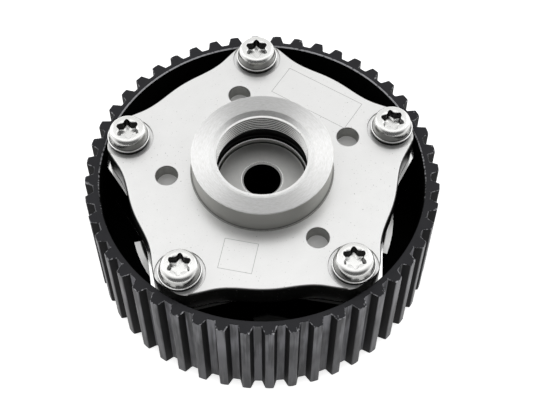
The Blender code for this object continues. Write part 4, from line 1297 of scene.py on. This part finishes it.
    def part_at(self, centre: Vector) -> CoverPart:
        """Which part of the cover a face belongs to, by the place of its centre.

        Args:
            centre: the face's centre.

        Returns:
            The part, which is also the material slot.
        """
        away, z, slack = math.hypot(centre.x, centre.y), centre.z, 0.01 * MM
        high = self.boss_top - self.lead_depth
        land = self.relief_floor - self.bore_edge
        if away < self.relief_radius + 0.1 * MM and z < high + 0.05 * MM:
            if z > high - 0.05 * MM:
                return CoverPart.FACE
            if land < z < self.relief_floor and away < self.nose_bore + self.bore_edge:
                return CoverPart.EDGE
            if self.relief_floor - slack < z < self.thread_floor:
                return CoverPart.UNDERCUT
            return CoverPart.THREAD if z > self.thread_floor else CoverPart.BORED
        if away < self.boss_radius - 0.02 * MM and z > high:
            return CoverPart.TURNED
        if away < self.boss_radius + self.foot and z > self.top:
            return CoverPart.WALL if z > self.top + self.foot else CoverPart.CORNER

        spot, tool = (
            min(math.hypot(centre.x - place.x, centre.y - place.y) for place in places)
            for places in (self.lobes.centres(), self.tool_centres())
        )
        if spot < self.spot_radius + 0.2 * MM and self.spot_floor + slack < z < self.top - slack:
            return CoverPart.WALL
        in_hole = self.tool_floor - 0.1 * MM < z < self.top - 0.2 * MM
        if in_hole and tool < self.tool_radius + 0.05 * MM:
            return CoverPart.EDGE if z < self.tool_floor + 0.1 * MM else CoverPart.DRILLED
        return CoverPart.FACE

    def make(self) -> bpy.types.Object:
        """Builds and dresses the cover.

        Returns:
            The finished piece.
        """
        steps = [
            ("UNION", self.boss()),
            ("DIFFERENCE", self.bore()),
            ("DIFFERENCE", self.holes()),
        ]
        mesh = cut_and_joined("cover_mesh", self.body(), steps)
        for part in CoverPart:
            mesh.materials.append(COVER_FINISHES[part].build())
        for face in mesh.polygons:
            face.material_index = self.part_at(face.center)
        return dressed(placed("lobed_cover", mesh), "front_cover")


@dataclass
class CoverScrews:
    """The five round-headed screws with six-lobe recesses, and the dished washers under them.

    Attributes:
        lobes: where they stand.
        tip: the height of the screw's tip.
        shank_radius: the radius of the shank.
        thread_top: the height where the screw's thread ends.
        thread_depth: how deep it is.
        thread_pitch: its pitch.
        head_bottom: the height of the head's underside.
        head_top: the height of its top.
        head_radius: its radius.
        crown_mm: the crown's outline as radii and drops from the top, in millimetres.
        recess_point: the radius of the recess's points.
        recess_valley: the radius of its valleys.
        recess_depth: its depth.
        recess_mm: the recess's steps as heights over its floor and growths, in millimetres.
        turns_deg: how far each screw's recess is turned.
        washer_bottom: the height of the washer's foot.
        washer_top: the height of its plate.
        washer_radius: its outer radius.
        washer_foot: how far its foot is drawn in.
        washer_rim: how far its rim rises.
        hole_radius: the radius of its hole.
        count: how many points a ring has.
        screw_finish: the head's plating, with painted shade on its side.
        recess_finish: the recess's walls, painted dark as shade.
        washer_finish: the washer's bright rim.
        foot_finish: the washer's lower part, painted near black as shade.
    """

    lobes: Lobes
    tip: float = 3.8 * MM
    shank_radius: float = 4.0 * MM
    thread_top: float = 11.8 * MM
    thread_depth: float = 0.45 * MM
    thread_pitch: float = 1.0 * MM
    head_bottom: float = 47.5 * MM
    head_top: float = 51.75 * MM
    head_radius: float = 6.7 * MM
    crown_mm: tuple[tuple[float, float], ...] = (
        (4.3, 0.0), (4.7, 0.02), (5.1, 0.08), (5.4, 0.17), (5.65, 0.3), (5.88, 0.5), (6.1, 0.8),
        (6.28, 1.18), (6.42, 1.65), (6.53, 2.2), (6.61, 2.8), (6.67, 3.4), (6.7, 3.7),
    )  # fmt: skip
    recess_point: float = 3.96 * MM
    recess_valley: float = 2.85 * MM
    recess_depth: float = 3.0 * MM
    recess_mm: tuple[tuple[float, float], ...] = (
        (0.0, -1.7), (0.0, -0.35), (0.12, -0.12), (0.5, -0.05),
        (1.4, 0.02), (2.7, 0.05), (2.92, 0.12), (3.0, 0.24),
    )  # fmt: skip
    turns_deg: tuple[float, ...] = (30.0, 36.0, 24.0, 30.0, 39.0)
    washer_bottom: float = 45.95 * MM
    washer_top: float = 47.2 * MM
    washer_radius: float = 7.17 * MM
    washer_foot: float = 0.25 * MM
    washer_rim: float = 0.9 * MM
    hole_radius: float = 4.3 * MM
    count: int = 96
    screw_finish: ShadedWallMetal = ShadedWallMetal(
        "zinc_plated_polished_steel", "#dededc", "#e8e8e6", 0.25, 1.0, 0.6, 0.002, 3.0, 0.05,
        wall="#a0a09e",
    )  # fmt: skip
    # Painted shade: the recess's walls darker than the head
    recess_finish: Finish = Finish(
        "painted_shade_steel_recess", "#4c4c4b", "#6c6c6a", 0.2, 1.0, 0.5, 0.004, 2.0, 0.04
    )
    washer_finish: Finish = Finish(
        "zinc_plated_spring_steel", "#fafaf8", "#ffffff", 0.35, 1.0, 0.6, 0.002, 3.0, 0.05
    )
    # Painted shade: the washer's lower part near black
    foot_finish: Finish = Finish(
        "painted_shade_spring_steel", "#0c0c0c", "#181817", 0.6, 1.0, 0.6, 0.002, 3.0, 0.05
    )

    def screw_mesh(self) -> Mesh:
        """One screw about the Z axis, from the recess's floor over the head to the tip.

        Returns:
            The mesh with its two materials.
        """
        turns = np.arange(self.count) / self.count
        wave = (0.5 + 0.5 * np.cos(12 * np.pi * turns)) ** 1.3
        star = self.recess_valley + (self.recess_point - self.recess_valley) * wave
        floor, top = self.head_top - self.recess_depth, self.head_top
        rings = [
            ring(star + grow * MM, 2 * np.pi * turns, floor + rise * MM)
            for rise, grow in self.recess_mm
        ]
        head, shank, low = self.head_radius, self.shank_radius, self.head_bottom
        side = [(radius * MM, top - drop * MM) for radius, drop in self.crown_mm]
        side += [(head, low + 0.25 * MM), (head - 0.25 * MM, low), (shank + 0.3 * MM, low)]
        side += [(shank, low - 0.3 * MM), (shank, self.thread_top)]
        rings += circles(side, self.count)
        rows, fade_in = 48, 4
        for row in range(rows + 1):
            z = self.thread_top - (self.thread_top - self.tip - 0.6 * MM) * row / rows
            depth = helix_wave(z, self.thread_pitch, turns) * min(row / fade_in, 1.0)
            rings.append(ring(shank - self.thread_depth * depth, 2 * np.pi * turns, z))
        rings += circles([(shank - 0.9 * MM, self.tip)], self.count)
        mesh = Loft("cover_screw_mesh", rings).mesh()
        mesh.materials.append(self.screw_finish.build())
        mesh.materials.append(self.recess_finish.build())
        for face in mesh.polygons:
            within = math.hypot(face.center.x, face.center.y) < self.recess_point + 0.2 * MM
            face.material_index = within and floor + 0.05 * MM < face.center.z < top - 0.1 * MM
        return mesh

    def washer_mesh(self) -> Mesh:
        """One dished washer about the Z axis, with its rim rolled up.

        Returns:
            The mesh with its two materials.
        """
        rim, head, hole = self.washer_radius, self.head_radius, self.hole_radius
        foot, low, plate = rim - self.washer_foot, self.washer_bottom, self.washer_top
        crest = plate + self.washer_rim
        profile = [
            (hole, low), (foot - 0.15 * MM, low), (foot, low + 0.1 * MM), (rim - 0.05 * MM, plate),
            (rim, crest - 0.36 * MM), (rim, crest - 0.24 * MM),
            (rim - 0.05 * MM, crest - 0.08 * MM), (rim - 0.15 * MM, crest),
            (rim - 0.28 * MM, crest), (head + 0.08 * MM, crest - 0.1 * MM),
            (head + 0.06 * MM, plate + 0.35 * MM), (head - 0.3 * MM, plate), (hole, plate),
        ]  # fmt: skip
        mesh = Loft("screw_washer_mesh", circles(profile, self.count), looped=True).mesh()
        mesh.materials.append(self.washer_finish.build())
        mesh.materials.append(self.foot_finish.build())
        for face in mesh.polygons:
            face.material_index = face.center.z < crest - 0.33 * MM
        return mesh

    def make(self) -> list[bpy.types.Object]:
        """Builds and dresses the screws and washers.

        Returns:
            The ten pieces.
        """
        screw_mesh, washer_mesh = self.screw_mesh(), self.washer_mesh()
        pieces = []
        for number, centre in enumerate(self.lobes.centres(), start=1):
            screw = placed(f"round_head_screw_{number}", screw_mesh)
            washer = placed(f"dished_washer_{number}", washer_mesh)
            screw.rotation_euler.z = math.radians(self.turns_deg[number - 1])
            screw.location = washer.location = centre
            dressed(screw, f"cover_screw_{number}", 40.0)
            dressed(washer, f"screw_washer_{number}", 40.0)
            pieces += [screw, washer]
        return pieces


INNER_FINISHES: tuple[tuple[tuple[str, ...], Finish], ...] = (
    # Extruded alloy, machined bright: the pale tier beside the lobes, with painted shade on its
    # steep walls
    (
        ("stator_housing",),
        ShadedWallMetal(
            "machined_aluminium_alloy", "#f0f0ef", "#f8f8f7", 0.12, 1.0, 0.5, 0.002, 4.0, 0.03
        ),
    ),
    # Turned alloy: a bright rim round inner faces painted dark as the cover's shadow, with painted
    # shade on the steep walls
    (
        ("rear_cover",),
        RimmedMetal(
            "turned_aluminium_alloy", "#f8f8f6", "#ffffff", 0.3, 1.0, 0.5, 0.002, 4.0, 0.03
        ),
    ),
    # Sintered steel, ground on its faces: darker and warmer than the alloy
    (
        ("rotor",),
        GroundSteel("ground_sintered_steel", "#bcbcba", "#d0d0ce", 0.5, 1.0, 0.5, 0.006, 2.5),
    ),
    # Hardened steel, ground: an even grey with a tight highlight
    (
        ("lock_pin", "lock_pin_bush", "locating_dowel"),
        Finish("hardened_ground_steel", "#b4b4b4", "#c4c4c4", 0.22, 1.0, 0.3, 0.002, 3.0),
    ),
    # Drawn wire: a darker grey, smooth along the wire
    (
        ("lock_pin_spring",),
        Finish("drawn_spring_wire", "#8f8f90", "#a4a4a5", 0.28, 1.0, 0.3, 0.002, 2.0),
    ),
    # Rolled strip: a warm grey
    (
        ("shoe_seal_spring", "vane_seal_spring"),
        Finish("rolled_leaf_steel", "#a9a7a3", "#bcbab6", 0.26, 1.0, 0.3, 0.002, 2.0),
    ),
    # Moulded plastic with glass fibre: brown black and slightly mottled
    (
        ("shoe_seal", "vane_seal", "lock_pin_spring_seat"),
        Finish("moulded_glass_filled_plastic", "#2b231d", "#372d25", 0.5, 0.0, 0.4, 0.01, 1.5),
    ),
    # Moulded rubber: matte black
    (
        ("front_housing_seal", "rear_housing_seal", "rotor_nose_seal"),
        Finish("moulded_fluororubber", "#161616", "#202020", 0.6, 0.0, 0.5, 0.01, 2.0),
    ),
)


@dataclass
class InnerPieces:
    """The CAD nodes that stay as they are and only take a finish.

    Attributes:
        nodes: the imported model's node objects by name.
    """

    nodes: dict[str, bpy.types.Object]

    @staticmethod
    def base(node: str) -> str:
        """A node's name without its number."""
        head, _, tail = node.rpartition("_")
        return head if tail.isdigit() else node

    def dress(self) -> list[str]:
        """Puts the finishes on.

        Returns:
            The names of the nodes that were dressed.
        """
        done = []
        for bases, finish in INNER_FINISHES:
            material = finish.build()
            for name, node in self.nodes.items():
                if self.base(name) in bases:
                    for slot in node.material_slots:
                        slot.material = material
                    done.append(name)
        return done


@dataclass
class PhotoCamera:
    """The camera at the photograph's viewing angle.

    Attributes:
        lens_mm: the focal length on a 36 mm sensor.
        aim_z: the height of the pulley's front face, which the fit was made on.
        turn_deg: the turn about Z.
        away: the distance behind that face's centre.
        above: the height over it.
        tilt_deg: the tilt from straight down.
        yaw_deg: the small turn that puts the object's centre where the photograph has it.
        pitch_deg: the small tilt for the same.
        roll_deg: the roll.
    """

    lens_mm: float = 80.565
    aim_z: float = 43.4 * MM
    turn_deg: float = -1.95
    away: float = 221.72 * MM
    above: float = 341.39 * MM
    tilt_deg: float = 33.0
    yaw_deg: float = -0.1993
    pitch_deg: float = -1.2674
    roll_deg: float = -0.408

    def make(self) -> bpy.types.Object:
        """Makes the camera and makes it the scene's.

        Returns:
            The camera.
        """
        lens = bpy.data.cameras.new("photo_camera")
        lens.lens = self.lens_mm
        lens.sensor_width = 36.0
        lens.clip_start = 0.01
        camera = placed("photo_camera", lens)
        turned = Matrix.Rotation(math.radians(self.turn_deg), 4, "Z")
        view = Matrix.Translation((0.0, 0.0, self.aim_z)) @ turned
        view = view @ Matrix.Translation((0.0, -self.away, self.above))
        for degrees, axis in (
            (self.tilt_deg, "X"),
            (self.yaw_deg, "Y"),
            (self.pitch_deg, "X"),
            (self.roll_deg, "Z"),
        ):
            view = view @ Matrix.Rotation(math.radians(degrees), 4, axis)
        camera.matrix_world = view
        bpy.context.scene.camera = camera
        return camera


@dataclass
class Studio:
    """A pale floor, a white surround and soft boxes.

    Attributes:
        floor_half: half the floor's side.
        floor_z: the floor's height.
        shadow: the radii between which the floor's glow starts, so that none is under the object.
        glow: how bright the floor is beyond them.
        ambient: how bright the surround lights the object.
        front: the direction to the side that the camera stands on.
        front_level: how bright that side is in a reflection.
        aim_z: the height that the lamps are turned to.
        lamps: each lamp's name, place, size and power.
    """

    floor_half: float = 3.0
    floor_z: float = -0.3 * MM
    shadow: tuple[float, float] = (45 * MM, 60 * MM)
    glow: float = 0.84
    ambient: float = 0.55
    front: tuple[float, float, float] = (0.0, -0.839, 0.545)
    front_level: float = 0.12
    aim_z: float = 40 * MM
    lamps: tuple[tuple[str, tuple[float, float, float], tuple[float, float], float], ...] = (
        ("back_softbox", (0.0, 0.42, 1.12), (1.7, 0.4), 0.9),
        ("left_softbox", (-0.88, 0.6, 0.64), (0.7, 0.9), 1.5),
        ("right_softbox", (0.88, 0.6, 0.64), (0.7, 0.9), 1.5),
    )

    def surround(self) -> None:
        """The world: white to the camera, and a soft light to the object."""
        world = bpy.data.worlds.new("studio_surround")
        bpy.context.scene.world = world
        world.use_nodes = True
        tree = world.node_tree
        back = tree.nodes["Background"]
        back.inputs["Color"].default_value = (1.0, 1.0, 1.0, 1.0)
        camera, glossy, glass = (
            add_node(tree, "LightPath", output=f"Is {ray} Ray")
            for ray in ("Camera", "Glossy", "Transmission")
        )
        # A bright band runs from side to side behind the object. The camera's side is dark, so
        # that metal shows light and dark.
        way = add_node(tree, "TexCoord", output="Generated")
        facing = add_node(
            tree, "VectorMath", {0: way, 1: self.front}, "Value", operation="DOT_PRODUCT"
        )
        span = {"From Min": 0.3, "From Max": 0.72, "To Min": 1.0, "To Max": self.front_level}
        shade = add_node(
            tree, "MapRange", {"Value": facing, **span}, interpolation_type="SMOOTHSTEP"
        )
        level = add_node(tree, "Mix", {"Factor": glossy, "A": self.ambient, "B": shade}, "Result")
        white = add_node(tree, "Math", {0: camera, 1: glass}, operation="MAXIMUM")
        strength = add_node(tree, "Mix", {"Factor": white, "A": level, "B": 1.0}, "Result")
        tree.links.new(strength, back.inputs["Strength"])

    def floor(self) -> None:
        """The floor: white paper that glows where it is seen, and keeps the object's shadow."""
        half = self.floor_half
        mesh = bpy.data.meshes.new("studio_floor")
        corners = [(-half, -half), (half, -half), (half, half), (-half, half)]
        mesh.from_pydata([(x, y, self.floor_z) for x, y in corners], [], [(0, 1, 2, 3)])
        paper = Surface("matte_white_paper")
        paper.set("Base Color", linear("#e8e8e8"))
        paper.set("Roughness", 0.9)
        paper.set("Specular IOR Level", 0.0)
        paper.set("Emission Color", (1.0, 1.0, 1.0, 1.0))
        seen = paper.add("LightPath", output="Is Camera Ray")
        for ray in ("Glossy", "Transmission"):
            path = paper.add("LightPath", output=f"Is {ray} Ray")
            seen = paper.add("Math", {0: seen, 1: path}, operation="MAXIMUM")
        away = paper.add("VectorMath", {0: paper.place}, "Value", operation="LENGTH")
        span = {"From Min": self.shadow[0], "From Max": self.shadow[1], "To Max": self.glow}
        open_floor = paper.add("MapRange", {"Value": away, **span})
        paper.feed("Emission Strength", paper.all_of(seen, open_floor))
        mesh.materials.append(paper.material)
        placed("studio_floor", mesh)

    def lights(self) -> None:
        """The soft boxes, each turned to the object."""
        for name, place, size, power in self.lamps:
            lamp = bpy.data.lights.new(name, "AREA")
            lamp.shape = "RECTANGLE"
            lamp.size, lamp.size_y = size
            lamp.energy = power
            obj = placed(name, lamp)
            obj.location = place
            aim = Vector((0.0, 0.0, self.aim_z)) - Vector(place)
            obj.rotation_euler = aim.to_track_quat("-Z", "Y").to_euler()

    def make(self) -> None:
        """Builds the whole studio."""
        bpy.context.scene.view_settings.view_transform = "Standard"
        self.surround()
        self.floor()
        self.lights()


def main(frame: dict[str, Any]) -> None:
    """Builds the scene in order and reports each piece.
    """
    logging.basicConfig(level=logging.INFO, format="%(name)s: %(message)s")
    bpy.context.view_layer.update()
    PhotoCamera().make()
    lobes = Lobes()
    pieces = [BeltPulley(lobes).make(), FrontCover(lobes).make(), *CoverScrews(lobes).make()]
    for piece in pieces:
        LOG.info("%s: %d faces", piece.name, len(piece.data.polygons))
    for name in InnerPieces(frame["nodes"]).dress():
        LOG.info("%s: dressed", name)
    Studio().make()


if __name__ == "__main__":
    main(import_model())
